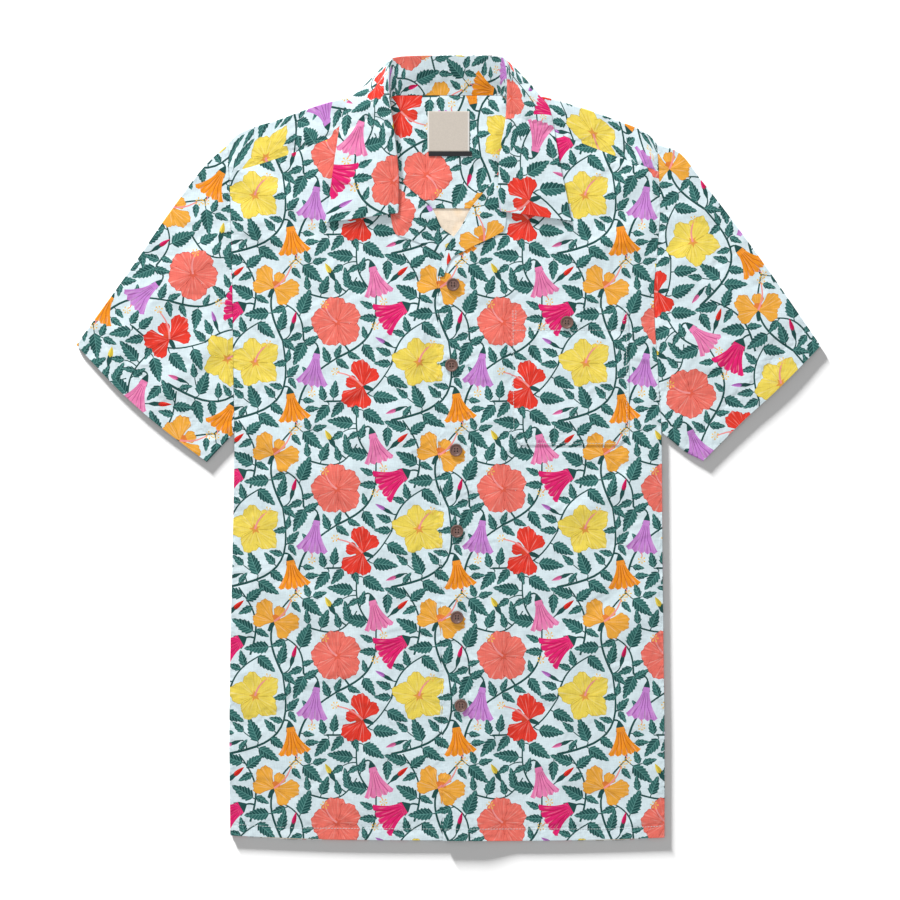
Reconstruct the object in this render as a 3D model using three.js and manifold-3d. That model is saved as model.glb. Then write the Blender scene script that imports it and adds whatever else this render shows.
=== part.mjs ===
// A short-sleeved shirt with an open camp collar, buttoned and laid on its back on a flat surface.
// Millimetres. +X is the viewer's right, the wearer's left. +Y runs from hem to collar, +Z is up.
// Every cloth piece is a closed wall about a middle surface, a function of two parameters from 0 to 1.

import * as THREE from 'three';
import { mergeVertices } from 'three/addons/utils/BufferGeometryUtils.js';
import Module from 'manifold-3d';

const wasm = await Module();
wasm.setup();

// Cloth and the rise from one layer to the next
const CLOTH = 1.0;
const GAP = 0.3;
const PLY = CLOTH + GAP;
const ARMHOLE_GAP = 0.5; // a little wider, since both pieces follow a curve there
const ROLL_GAP = 0.8; // between a front's edge and the facing that rolls round it
const COLLAR_WALL = 1.2;
const LABEL_WALL = 0.8;
const FOLD = PLY / 2; // radius of the middle surface round a pressed fold

// Seams and openings
const BACK_SEAM_Y = 253.1; // back panel to yoke
const BACK_NECK_Y = 370.4; // yoke to collar at the back neck
const NECK_RIGHT_X = 63; // neck ends of the shoulders
const NECK_LEFT_X = -64;
const ARMHOLE_TOP_Y = 319.7;
const UNDERARM_Y = 16.8;
const SLEEVE_AIR = 1.6; // extra height between a sleeve's layers at its cuff

// Buttons
const BUTTON_RADIUS = 6.75;
const BUTTON_HEIGHT = 2.8;
const BUTTON_RIM = 1.3;
const BUTTON_DISH = 0.9; // depth of the dish inside the rim
const HOLE_RADIUS = 0.75;
const HOLE_OFFSET = 1.45; // of each hole from the button's middle, along x and y
const BUTTON_SIDES = 16;
const HOLE_SIDES = 6;

const COLOURS = {
  print: 0xdfe9ec,
  lining: 0xf3e2cf,
  button: 0x54392f,
  label: 0xd6ccc0,
  tab: 0x1f1f24,
};

// Sides of the body seen from above, a row for each level from the hem to the shoulder
const BODY_LEVELS = [
  { y: -410.6, left: -228.4, right: 226.3 },
  { y: -305.6, left: -229.4, right: 226.3 },
  { y: -211.1, left: -228.4, right: 225.2 },
  { y: -116.6, left: -226.3, right: 224.2 },
  { y: 15.8, left: -224.2, right: 223.1 },
  { y: 71.4, left: -225.2, right: 220.0 },
  { y: 162.8, left: -226.3, right: 215.2 },
  { y: 209.0, left: -227.3, right: 218.9 },
  { y: 253.1, left: -228.4, right: 221.6 },
  { y: 319.7, left: -231.0, right: 218.4 },
];

// Hem line of the body, and the pressed fold of each shoulder from the armhole to the neck
const HEM_LINE = [
  { x: -228.4, y: -405.3 },
  { x: -155.9, y: -409.5 },
  { x: 12.1, y: -410.6 },
  { x: 159.1, y: -410.6 },
  { x: 226.3, y: -407.4 },
];
const SHOULDER_RIGHT = [
  { x: 218.4, y: 319.7 },
  { x: 210.5, y: 328.7 },
  { x: 173.8, y: 345.4 },
  { x: 127.6, y: 361.2 },
  { x: 101.3, y: 368.6 },
  { x: 63.0, y: 374.3 },
];
const SHOULDER_LEFT = [
  { x: -231.0, y: 319.7 },
  { x: -223.1, y: 328.7 },
  { x: -176.9, y: 345.4 },
  { x: -132.8, y: 361.2 },
  { x: -103.4, y: 368.6 },
  { x: -64.0, y: 374.3 },
];

// Each front, a row for each section from the hem to the yoke seam: its level at the side,
// its edge at the placket, the lapel's roll and the neck, and how far the section bows to the hem
const FRONT_LEFT = [
  { sideY: -407.4, edgeX: -5.8, edgeY: -410.6, bow: 1.5 },
  { sideY: -263.6, edgeX: -6.8, edgeY: -263.6, bow: 0 },
  { sideY: -116.6, edgeX: -7.9, edgeY: -116.6, bow: 0 },
  { sideY: 15.8, edgeX: -8.9, edgeY: 9.5, bow: 0 },
  { sideY: 71.4, edgeX: -9.6, edgeY: 71.4, bow: 0 },
  { sideY: 162.8, edgeX: -10.5, edgeY: 167.0, bow: 0 },
  { sideY: 177.5, edgeX: -7.2, edgeY: 190.1, bow: 0 },
  { sideY: 196.3, edgeX: -0.5, edgeY: 210.0, bow: 0 },
  { sideY: 214.2, edgeX: 14.2, edgeY: 231.0, bow: 0 },
  { sideY: 235.2, edgeX: 25.7, edgeY: 252.0, bow: 0 },
  { sideY: 253.1, edgeX: 38.3, edgeY: 267.8, bow: 0 },
  { sideY: 266.7, edgeX: 50.9, edgeY: 286.7, bow: 0.5 },
  { sideY: 278.2, edgeX: 60.4, edgeY: 316.1, bow: 1 },
  { sideY: 285.6, edgeX: 63.0, edgeY: 334.9, bow: 1.5 },
  { sideY: 290.9, edgeX: 63.0, edgeY: 353.9, bow: 2 },
];
const FRONT_RIGHT = [
  { sideY: -405.3, edgeX: 24.7, edgeY: -410.0, bow: 2 },
  { sideY: -263.6, edgeX: 23.6, edgeY: -263.6, bow: 0 },
  { sideY: -116.6, edgeX: 22.6, edgeY: -116.6, bow: 0 },
  { sideY: 15.8, edgeX: 22.1, edgeY: 9.5, bow: 0 },
  { sideY: 71.4, edgeX: 21.5, edgeY: 71.4, bow: 0 },
  { sideY: 156.5, edgeX: 22.6, edgeY: 161.7, bow: 0 },
  { sideY: 182.7, edgeX: 20.5, edgeY: 188.0, bow: 0 },
  { sideY: 200.6, edgeX: 14.2, edgeY: 209.0, bow: 0 },
  { sideY: 216.3, edgeX: 3.0, edgeY: 221.9, bow: 0 },
  { sideY: 230.0, edgeX: -8.2, edgeY: 230.4, bow: 0 },
  { sideY: 245.7, edgeX: -19.4, edgeY: 252.0, bow: 0 },
  { sideY: 258.3, edgeX: -35.2, edgeY: 265.7, bow: 0 },
  { sideY: 269.9, edgeX: -52.0, edgeY: 282.4, bow: 1 },
  { sideY: 278.2, edgeX: -61.4, edgeY: 313.9, bow: 3 },
  { sideY: 284.6, edgeX: -64.0, edgeY: 334.9, bow: 4 },
  { sideY: 288.8, edgeX: -64.0, edgeY: 353.9, bow: 5 },
];

// Free edge of each turned-out facing from the gorge to the break. It rolls round the front's edge,
// and section counts the rows of that front's table, the hem's row being 0
const LAPEL_LEFT = [
  { section: 11, edgeX: 57.2, edgeY: 284.6 },
  { section: 10, edgeX: 59.3, edgeY: 261.4 },
  { section: 9, edgeX: 60.4, edgeY: 247.8 },
  { section: 8.5, edgeX: 59.3, edgeY: 231.0 },
  { section: 8.25, edgeX: 43.4, edgeY: 220.9 },
  { section: 8, edgeX: 28.9, edgeY: 214.2 },
  { section: 7.5, edgeX: 15.2, edgeY: 206.9 },
  { section: 7, edgeX: 5.8, edgeY: 202.2 },
  { section: 6, edgeX: -1.6, edgeY: 191.3 },
  { section: 5.5, edgeX: -5.0, edgeY: 180.6 },
];
const LAPEL_RIGHT = [
  { section: 12, edgeX: -58.3, edgeY: 280.4 },
  { section: 11, edgeX: -59.9, edgeY: 261.4 },
  { section: 10, edgeX: -60.4, edgeY: 247.8 },
  { section: 9.5, edgeX: -55.7, edgeY: 226.3 },
  { section: 9, edgeX: -38.3, edgeY: 219.5 },
  { section: 8.5, edgeX: -21.5, edgeY: 212.1 },
  { section: 8, edgeX: -5.4, edgeY: 201.6 },
  { section: 7, edgeX: 8.0, edgeY: 188.0 },
  { section: 6, edgeX: 15.0, edgeY: 178.4 },
];

// Collar, a row for each section from the left leaf's front end round the back neck to the right leaf's:
// the neck seam, the top of the roll and the free edge as points [x, y, z], and how far the fall
// bows up (or, behind the neck, down)
const COLLAR = [
  { neck: [56.2, 248.9, 6.0], roll: [54.1, 249.3, 6.9], edge: [128.2, 239.4, 3.5], crown: 1.0 },
  { neck: [55.7, 269.9, 6.0], roll: [52.3, 269.9, 8.0], edge: [122.9, 268.8, 3.5], crown: 1.6 },
  { neck: [57.8, 292.9, 5.8], roll: [53.0, 294.0, 8.8], edge: [117.6, 292.9, 3.5], crown: 2.0 },
  { neck: [59.0, 316.1, 4.6], roll: [55.1, 316.1, 9.6], edge: [113.5, 316.1, 3.5], crown: 2.0 },
  { neck: [61.5, 338.0, 4.0], roll: [59.6, 341.0, 10.6], edge: [109.4, 341.0, 3.5], crown: 1.8 },
  { neck: [61.5, 353.0, 3.7], roll: [61.2, 361.0, 11.6], edge: [105.5, 357.0, 3.7], crown: 1.2 },
  { neck: [61.3, 364.0, 3.0], roll: [61.8, 380.0, 12.6], edge: [94.7, 371.7, 3.8], crown: 0.4 },
  { neck: [59.5, 369.5, 2.4], roll: [61.6, 396.0, 13.2], edge: [77.2, 391.7, 3.0], crown: -1.0 },
  { neck: [53.0, 371.2, 1.9], roll: [57.5, 408.2, 13.2], edge: [59.8, 406.5, 1.6], crown: -2.0 },
  { neck: [41.0, 371.4, 1.8], roll: [43.0, 410.4, 13.0], edge: [43.0, 394.0, 0.7], crown: -4.0 },
  { neck: [22.0, 371.4, 1.8], roll: [22.0, 410.4, 13.0], edge: [22.0, 381.0, 0.6], crown: -5.0 },
  { neck: [0.0, 371.4, 1.8], roll: [0.0, 410.4, 13.0], edge: [0.0, 377.0, 0.6], crown: -5.0 },
  { neck: [-22.0, 371.4, 1.8], roll: [-22.0, 410.2, 13.0], edge: [-22.0, 381.0, 0.6], crown: -5.0 },
  { neck: [-42.0, 371.4, 1.8], roll: [-44.0, 409.6, 13.0], edge: [-44.0, 394.0, 0.7], crown: -4.0 },
  { neck: [-54.0, 371.2, 1.9], roll: [-58.6, 407.4, 13.2], edge: [-61.0, 406.0, 1.6], crown: -2.0 },
  { neck: [-60.5, 369.5, 2.4], roll: [-62.4, 395.0, 13.2], edge: [-75.6, 393.8, 3.0], crown: -1.0 },
  { neck: [-62.3, 364.0, 3.0], roll: [-62.4, 380.0, 12.6], edge: [-91.9, 377.0, 3.4], crown: 0.4 },
  { neck: [-62.5, 353.0, 3.7], roll: [-61.2, 361.0, 11.6], edge: [-106.0, 363.5, 3.8], crown: 1.2 },
  { neck: [-62.5, 338.0, 4.0], roll: [-58.3, 341.0, 10.6], edge: [-112.5, 344.0, 3.5], crown: 1.8 },
  { neck: [-59.8, 316.1, 4.6], roll: [-55.1, 316.1, 9.6], edge: [-117.1, 316.1, 3.5], crown: 2.0 },
  { neck: [-57.4, 292.9, 5.8], roll: [-52.8, 292.9, 8.8], edge: [-120.8, 291.0, 3.5], crown: 2.0 },
  { neck: [-55.5, 269.9, 6.0], roll: [-52.0, 268.8, 8.0], edge: [-124.4, 264.6, 3.5], crown: 1.6 },
  { neck: [-54.9, 247.8, 6.0], roll: [-52.8, 247.3, 6.9], edge: [-129.2, 237.3, 3.5], crown: 1.0 },
];

// Places of the six points of a collar section, and its bends beside the roll
const SECTION_PLACES = [0, 0.2, 0.4, 0.5, 0.75, 1];
const STAND_BEND = { share: 0.55, lift: 0.4 };
const FALL_BEND = { share: 0.12, ofCrown: 0.75 };

// Each sleeve's fold from the shoulder, its cuff, and its fold under the arm, going round
const SLEEVE_LEFT = {
  side: 'right',
  over: [
    { x: 218.4, y: 319.7 },
    { x: 238.9, y: 312.9 },
    { x: 265.1, y: 282.4 },
    { x: 322.9, y: 205.8 },
    { x: 390.6, y: 108.2 },
  ],
  cuff: [
    { x: 390.6, y: 108.2 },
    { x: 344.9, y: 62.0 },
    { x: 310.3, y: 30.5 },
    { x: 267.2, y: -12.6 },
  ],
  under: [
    { x: 223.1, y: 16.8 },
    { x: 246.0, y: 0.5 },
    { x: 267.2, y: -12.6 },
  ],
};
const SLEEVE_RIGHT = {
  side: 'left',
  over: [
    { x: -231.0, y: 319.7 },
    { x: -253.6, y: 299.2 },
    { x: -291.4, y: 249.9 },
    { x: -333.4, y: 189.0 },
    { x: -390.6, y: 109.2 },
  ],
  cuff: [
    { x: -390.6, y: 109.2 },
    { x: -346.0, y: 62.0 },
    { x: -311.3, y: 30.5 },
    { x: -253.6, y: -13.7 },
  ],
  under: [
    { x: -224.2, y: 16.8 },
    { x: -239.9, y: 1.1 },
    { x: -253.6, y: -13.7 },
  ],
};

// Half widths of the yoke's inside layer, a row for each level
const LINING_LEVELS = [
  { y: 252.7, left: -70.9, right: 70.9 },
  { y: 313.9, left: -68.8, right: 67.7 },
  { y: 330.8, left: -61.8, right: 60.7 },
  { y: 364.0, left: -61.4, right: 60.3 },
  { y: 370.4, left: -52.0, right: 51.0 },
];

// Pocket, a row for each level from its foot to its mouth
const POCKET_LEVELS = [
  { y: 4.2, left: 76.1, right: 178.0 },
  { y: 15.8, left: 66.7, right: 189.0 },
  { y: 80.0, left: 66.1, right: 188.8 },
  { y: 147.0, left: 65.6, right: 188.5 },
];

const LABEL = { left: -21.7, right: 21.8, foot: 312.2, top: 353.9 };
const TAB = { left: -20.5, right: 24.2, foot: 307.1, top: 311.9 };

// Buttons on the placket from the top down, then the one on the pocket's hem
const BUTTONS = [
  { name: 'button_1', x: 4.7, y: 172.2 },
  { name: 'button_2', x: 3.2, y: 87.7 },
  { name: 'button_3', x: 7.9, y: -1.1 },
  { name: 'button_4', x: 8.9, y: -86.1 },
  { name: 'button_5', x: 8.9, y: -176.4 },
  { name: 'button_6', x: 13.1, y: -268.8 },
];
const POCKET_BUTTON = { name: 'button_pocket', x: 124.1, y: 132.6 };

// Soft creases of the top layer: both ends, half width and height
const CREASES = [
  { fromX: -222, fromY: 292, toX: -170, toY: 258, width: 14, height: 1.6 },
  { fromX: -208, fromY: 240, toX: -150, toY: 206, width: 16, height: 1.5 },
  { fromX: 206, fromY: 300, toX: 170, toY: 262, width: 14, height: 1.6 },
  { fromX: 206, fromY: 236, toX: 156, toY: 206, width: 16, height: 1.4 },
  { fromX: 44, fromY: 110, toX: 48, toY: -70, width: 15, height: 1.4 },
  { fromX: 54, fromY: -110, toX: 44, toY: -330, width: 16, height: 1.2 },
  { fromX: -40, fromY: 130, toX: -52, toY: -40, width: 17, height: 1.3 },
  { fromX: -200, fromY: 20, toX: -120, toY: -40, width: 17, height: 1.5 },
  { fromX: 198, fromY: -30, toX: 128, toY: -66, width: 16, height: 1.4 },
  { fromX: -206, fromY: -140, toX: -128, toY: -176, width: 18, height: 1.4 },
  { fromX: 204, fromY: -170, toX: 120, toY: -214, width: 18, height: 1.4 },
  { fromX: -120, fromY: -230, toX: -88, toY: -372, width: 18, height: 1.2 },
  { fromX: 110, fromY: -262, toX: 128, toY: -380, width: 17, height: 1.2 },
  { fromX: 250, fromY: 200, toX: 330, toY: 128, width: 17, height: 1.5 },
  { fromX: 244, fromY: 120, toX: 300, toY: 66, width: 15, height: 1.3 },
  { fromX: -252, fromY: 206, toX: -332, toY: 126, width: 17, height: 1.5 },
  { fromX: -246, fromY: 112, toX: -300, toY: 62, width: 15, height: 1.3 },
];
const OUTLINE_EASE = 16; // creases die out over this distance from the garment's outline
const PLACKET = { left: -12, right: 28, ease: 20 }; // the buttoned overlap, which stays flat

// Where the fronts climb on the yoke's inside layer: from y start to full and off again from leave
// to end, and within a half width that eases from inner to outer
const ON_LINING = { start: 228, full: 250, leave: 326, end: 344, inner: 74, outer: 90 };
// Where the left front climbs on the right one, in x, and on the right lapel as well, in y
const ON_RIGHT_FRONT = { full: 24, end: 70 };
const ON_LAPEL = { start: 138, full: 164 };

// Rows and columns of the pieces' meshes that need uneven ones
const FRONT_COLUMNS = [0, 0.06, 0.15, 0.25, 0.35, 0.45, 0.55, 0.63, 0.7, 0.77, 0.83, 0.885, 0.935, 0.97, 1];
const LINING_ROWS = [252.7, 270, 290, 313.9, 322, 330.8, 350, 364, 370.4];
const POCKET_ROWS = [4.2, 10, 15.8, 34, 52, 70, 88, 106, 126, 147];

// Interpolation

// A smooth curve through values at given places, with no overshoot between them
function smoothThrough(places, values, at) {
  const last = places.length - 1;
  const ascending = places[last] > places[0];
  const sign = ascending ? 1 : -1;
  const here = THREE.MathUtils.clamp(at * sign, places[0] * sign, places[last] * sign) * sign;
  let i = 0;
  while (i < last - 1 && (here - places[i + 1]) * sign > 0) i++;
  const width = (k) => places[k + 1] - places[k];
  const slope = (k) => (values[k + 1] - values[k]) / width(k);
  const tangent = (k) => {
    if (k === 0) return slope(0);
    if (k === last) return slope(last - 1);
    const before = slope(k - 1);
    const after = slope(k);
    if (before * after <= 0) return 0;
    const a = 2 * width(k) + width(k - 1);
    const b = width(k) + 2 * width(k - 1);
    return (a + b) / (a / before + b / after);
  };
  const h = width(i);
  const t = (here - places[i]) / h;
  const rise = 3 * t * t - 2 * t * t * t;
  const leave = (t * t * t - 2 * t * t + t) * h;
  const arrive = (t * t * t - t * t) * h;
  return values[i] * (1 - rise) + values[i + 1] * rise + tangent(i) * leave + tangent(i + 1) * arrive;
}

// A table's column as a function of the row, from 0 at the first row to 1 at the last
function column(table, name) {
  const places = table.map((_, i) => i / (table.length - 1));
  const values = table.map((row) => row[name]);
  return (t) => smoothThrough(places, values, t);
}

// One column of a table as a function of another
function columnBy(table, key, name) {
  const places = table.map((row) => row[key]);
  const values = table.map((row) => row[name]);
  return (at) => smoothThrough(places, values, at);
}

// A curve in plan through points, followed at an even pace
function curveThrough(points) {
  const reach = [0];
  for (let i = 1; i < points.length; i++)
    reach.push(reach[i - 1] + Math.hypot(points[i].x - points[i - 1].x, points[i].y - points[i - 1].y));
  const places = reach.map((r) => r / reach[reach.length - 1]);
  const xs = points.map((p) => p.x);
  const ys = points.map((p) => p.y);
  return (t) => ({ x: smoothThrough(places, xs, t), y: smoothThrough(places, ys, t) });
}

const lerp = THREE.MathUtils.lerp;
const ramp = THREE.MathUtils.smoothstep;
const mix = (a, b, t) => ({ x: lerp(a.x, b.x, t), y: lerp(a.y, b.y, t) });

// A patch between four plan curves that meet at its corners
function patchBetween(start, end, near, far) {
  return (u, v) => {
    const across = mix(start(v), end(v), u);
    const along = mix(near(u), far(u), v);
    const corners = mix(mix(start(0), end(0), u), mix(start(1), end(1), u), v);
    return { x: across.x + along.x - corners.x, y: across.y + along.y - corners.y };
  };
}

// Numbers from 0 to 1 in even steps
const evenly = (steps) => Array.from({ length: steps + 1 }, (_, i) => i / steps);

const bodySide = {
  left: columnBy(BODY_LEVELS, 'y', 'left'),
  right: columnBy(BODY_LEVELS, 'y', 'right'),
};
const hemY = columnBy(HEM_LINE, 'x', 'y');

// Height of the laid cloth

// Distance in plan from a point to a segment
function distanceToSegment(x, y, x0, y0, x1, y1) {
  const dx = x1 - x0;
  const dy = y1 - y0;
  const t = THREE.MathUtils.clamp(((x - x0) * dx + (y - y0) * dy) / (dx * dx + dy * dy), 0, 1);
  return Math.hypot(x - x0 - t * dx, y - y0 - t * dy);
}

// The garment's outline in plan, from the hem up the right side, over the shoulders and down the left
const OUTLINE = [
  ...HEM_LINE,
  { x: bodySide.right(-116.6), y: -116.6 },
  ...SLEEVE_LEFT.under,
  ...SLEEVE_LEFT.cuff.slice(0, -1).reverse(),
  ...SLEEVE_LEFT.over.slice(1, -1).reverse(),
  ...SHOULDER_RIGHT,
  ...[...SHOULDER_LEFT].reverse(),
  ...SLEEVE_RIGHT.over.slice(1),
  ...SLEEVE_RIGHT.cuff.slice(1),
  ...SLEEVE_RIGHT.under.slice(0, -1).reverse(),
  { x: bodySide.left(-116.6), y: -116.6 },
];

function distanceToOutline(x, y) {
  let least = Infinity;
  OUTLINE.forEach((from, i) => {
    const to = OUTLINE[(i + 1) % OUTLINE.length];
    least = Math.min(least, distanceToSegment(x, y, from.x, from.y, to.x, to.y));
  });
  return least;
}

// Rise of the top layer over its flat lie: each crease is a bell across its line
function swell(x, y) {
  let rise = 0;
  for (const c of CREASES) {
    const away = distanceToSegment(x, y, c.fromX, c.fromY, c.toX, c.toY) / c.width;
    rise += c.height * Math.exp(-away * away);
  }
  const offPlacket = Math.max(PLACKET.left - x, x - PLACKET.right, 0);
  return rise * ramp(distanceToOutline(x, y), 0, OUTLINE_EASE) * ramp(offPlacket, 0, PLACKET.ease);
}

// How far the fronts lie on the yoke's inside layer: 1 over it, 0 clear of it
function overLining(x, y) {
  const above = ramp(y, ON_LINING.start, ON_LINING.full) * (1 - ramp(y, ON_LINING.leave, ON_LINING.end));
  return above * (1 - ramp(Math.abs(x), ON_LINING.inner, ON_LINING.outer));
}

// Middle surface of each front, one layer up from the back, and higher where more layers lie under it
function rightFrontZ(x, y) {
  return CLOTH / 2 + PLY * (1 + overLining(x, y)) + swell(x, y);
}

function leftFrontZ(x, y) {
  const overPlacket = 1 - ramp(x, ON_RIGHT_FRONT.full, ON_RIGHT_FRONT.end);
  const overLapel = ramp(y, ON_LAPEL.start, ON_LAPEL.full);
  const stacked = overPlacket * (1 + overLapel);
  return CLOTH / 2 + PLY * (1 + Math.max(overLining(x, y), stacked)) + swell(x, y);
}

// Solids

const matt = (color, roughness) => new THREE.MeshStandardMaterial({ color, roughness, metalness: 0 });
const printed = () => matt(COLOURS.print, 0.85);
const lining = () => matt(COLOURS.lining, 0.9);
const hornBrown = () => matt(COLOURS.button, 0.45);
const woven = (color) => matt(color, 0.8);

// Six times the signed volume inside a set of triangles
function signedVolume(positions, faces) {
  const point = (i) => new THREE.Vector3().fromArray(positions, i * 3);
  let sum = 0;
  for (let f = 0; f < faces.length; f += 3)
    sum += point(faces[f]).dot(point(faces[f + 1]).cross(point(faces[f + 2])));
  return sum;
}

// A closed wall of cloth: its middle surface at(u, v), thickened both ways along the normal.
// A ring closes on itself along v.
function clothWall({ rows, columns, at, wall = CLOTH, ring = false }) {
  const across = columns.length;
  const points = rows.map((u) => columns.map((v) => new THREE.Vector3().copy(at(u, v))));
  const spot = (r, c) => {
    const row = points[THREE.MathUtils.clamp(r, 0, rows.length - 1)];
    return ring ? row[(c + across) % across] : row[THREE.MathUtils.clamp(c, 0, across - 1)];
  };
  const positions = [];
  for (const side of [1, -1])
    for (let r = 0; r < rows.length; r++)
      for (let c = 0; c < across; c++) {
        const along = spot(r + 1, c).clone().sub(spot(r - 1, c));
        const sideways = spot(r, c + 1).clone().sub(spot(r, c - 1));
        const normal = along.cross(sideways).normalize();
        positions.push(...spot(r, c).clone().addScaledVector(normal, (side * wall) / 2));
      }
  const index = (side, r, c) => (side * rows.length + r) * across + ((c + across) % across);
  const faces = [];
  const quad = (a, b, c, d) => faces.push(a, b, c, a, c, d);
  const lastColumn = ring ? across : across - 1;
  for (let r = 0; r < rows.length - 1; r++)
    for (let c = 0; c < lastColumn; c++) {
      quad(index(0, r, c), index(0, r + 1, c), index(0, r + 1, c + 1), index(0, r, c + 1));
      quad(index(1, r, c), index(1, r, c + 1), index(1, r + 1, c + 1), index(1, r + 1, c));
    }
  for (const r of [0, rows.length - 1])
    for (let c = 0; c < lastColumn; c++) {
      if (r === 0) quad(index(0, r, c), index(0, r, c + 1), index(1, r, c + 1), index(1, r, c));
      else quad(index(0, r, c + 1), index(0, r, c), index(1, r, c), index(1, r, c + 1));
    }
  if (!ring)
    for (const c of [0, across - 1])
      for (let r = 0; r < rows.length - 1; r++) {
        if (c === 0) quad(index(0, r + 1, c), index(0, r, c), index(1, r, c), index(1, r + 1, c));
        else quad(index(0, r, c), index(0, r + 1, c), index(1, r + 1, c), index(1, r, c));
      }
  if (signedVolume(positions, faces) < 0)
    for (let f = 0; f < faces.length; f += 3) [faces[f], faces[f + 1]] = [faces[f + 1], faces[f]];
  const geometry = new THREE.BufferGeometry();
  geometry.setAttribute('position', new THREE.Float32BufferAttribute(positions, 3));
  geometry.setIndex(faces);
  geometry.computeVertexNormals();
  return geometry;
}

// A three.js geometry as a solid that can be joined and cut, and back again
function toSolid(geometry) {
  const bare = geometry.clone();
  bare.deleteAttribute('normal');
  bare.deleteAttribute('uv');
  const merged = mergeVertices(bare, 1e-4);
  return new wasm.Manifold(
    new wasm.Mesh({
      numProp: 3,
      vertProperties: new Float32Array(merged.getAttribute('position').array),
      triVerts: new Uint32Array(merged.getIndex().array),
    }),
  );
}

function fromSolid(solid) {
  const mesh = solid.getMesh();
  const geometry = new THREE.BufferGeometry();
  geometry.setAttribute('position', new THREE.Float32BufferAttribute(mesh.vertProperties, 3));
  geometry.setIndex(Array.from(mesh.triVerts));
  geometry.computeVertexNormals();
  return geometry;
}

function piece(name, geometry, material) {
  const mesh = new THREE.Mesh(geometry, material);
  mesh.name = name;
  return mesh;
}

// Pieces

// Back: flat on the surface, from the hem to its seam with the yoke
function back() {
  const at = (u, v) => {
    const foot = lerp(bodySide.left(BODY_LEVELS[0].y), bodySide.right(BODY_LEVELS[0].y), v);
    const y = lerp(hemY(foot), BACK_SEAM_Y - GAP, u);
    return { x: lerp(bodySide.left(y), bodySide.right(y), v), y, z: CLOTH / 2 };
  };
  return piece('back', clothWall({ rows: evenly(16), columns: evenly(10), at }), lining());
}

// Half of the outer yoke: up the back from its seam, round the shoulder's fold and down to the front seam
function yokeHalf(side, shoulder, front, neckX) {
  const backShare = 0.4; // share of the section that lies at the back
  const frontFrom = 0.6; // from here it lies at the front, and between the two it turns
  const shoulderY = columnBy(shoulder, 'x', 'y');
  const top = front[front.length - 1];
  const sideAt = (y) => bodySide[side](Math.min(y, ARMHOLE_TOP_Y));
  const at = (u, v) => {
    const crest = shoulderY(lerp(sideAt(ARMHOLE_TOP_Y), neckX, v)) - FOLD;
    const seam = lerp(top.sideY, top.edgeY, v) - top.bow * Math.sin(Math.PI * v) + GAP;
    const place = (y) => lerp(sideAt(y), neckX, v);
    if (u <= backShare) {
      const y = lerp(BACK_SEAM_Y, crest, u / backShare);
      return { x: place(y), y, z: CLOTH / 2 };
    }
    if (u < frontFrom) {
      const turn = ((u - backShare) / (frontFrom - backShare)) * Math.PI;
      const y = crest + FOLD * Math.sin(turn);
      return { x: place(y), y, z: CLOTH / 2 + FOLD * (1 - Math.cos(turn)) };
    }
    const y = lerp(crest, seam, (u - frontFrom) / (1 - frontFrom));
    const x = place(y);
    return { x, y, z: CLOTH / 2 + PLY + swell(x, y) };
  };
  const rows = [0, 0.1, 0.2, 0.3, 0.4, 0.45, 0.5, 0.55, 0.6, 0.7, 0.8, 0.9, 1];
  return toSolid(clothWall({ rows, columns: evenly(10), at }));
}

// Outer yoke: both halves, joined by the flat stretch below the back neck
function yokeOuter() {
  const overlap = 0.5;
  const middle = toSolid(
    clothWall({
      rows: evenly(2),
      columns: evenly(4),
      at: (u, v) => ({
        x: lerp(NECK_LEFT_X - overlap, NECK_RIGHT_X + overlap, v),
        y: lerp(BACK_SEAM_Y, BACK_NECK_Y, u),
        z: CLOTH / 2,
      }),
    }),
  );
  const whole = yokeHalf('right', SHOULDER_RIGHT, FRONT_LEFT, NECK_RIGHT_X)
    .add(middle)
    .add(yokeHalf('left', SHOULDER_LEFT, FRONT_RIGHT, NECK_LEFT_X));
  return piece('yoke_outer', fromSolid(whole), printed());
}

// A flat piece between left and right edges given level by level, at a height given in plan
function levelPiece(name, levels, heights, columns, heightAt, wall, material) {
  const left = columnBy(levels, 'y', 'left');
  const right = columnBy(levels, 'y', 'right');
  const first = levels[0].y;
  const span = levels[levels.length - 1].y - first;
  const at = (u, v) => {
    const y = first + span * u;
    const x = lerp(left(y), right(y), v);
    return { x, y, z: heightAt(x, y) };
  };
  const rows = heights.map((y) => (y - first) / span);
  return piece(name, clothWall({ rows, columns: evenly(columns), at, wall }), material);
}

function yokeInner() {
  return levelPiece('yoke_inner', LINING_LEVELS, LINING_ROWS, 4, () => PLY + CLOTH / 2, CLOTH, printed());
}

// A front: sections from the side to the placket, the lapel's roll and the neck
function front(name, table, side, heightAt) {
  const level = column(table, 'sideY');
  const edgeX = column(table, 'edgeX');
  const edgeY = column(table, 'edgeY');
  const bow = column(table, 'bow');
  const at = (u, v) => {
    const y = lerp(level(u), edgeY(u), v) - bow(u) * Math.sin(Math.PI * v);
    const x = lerp(bodySide[side](Math.min(y, ARMHOLE_TOP_Y)), edgeX(u), v);
    return { x, y, z: heightAt(x, y) };
  };
  const rows = evenly((table.length - 1) * 2);
  return piece(name, clothWall({ rows, columns: FRONT_COLUMNS, at }), printed());
}

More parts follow.
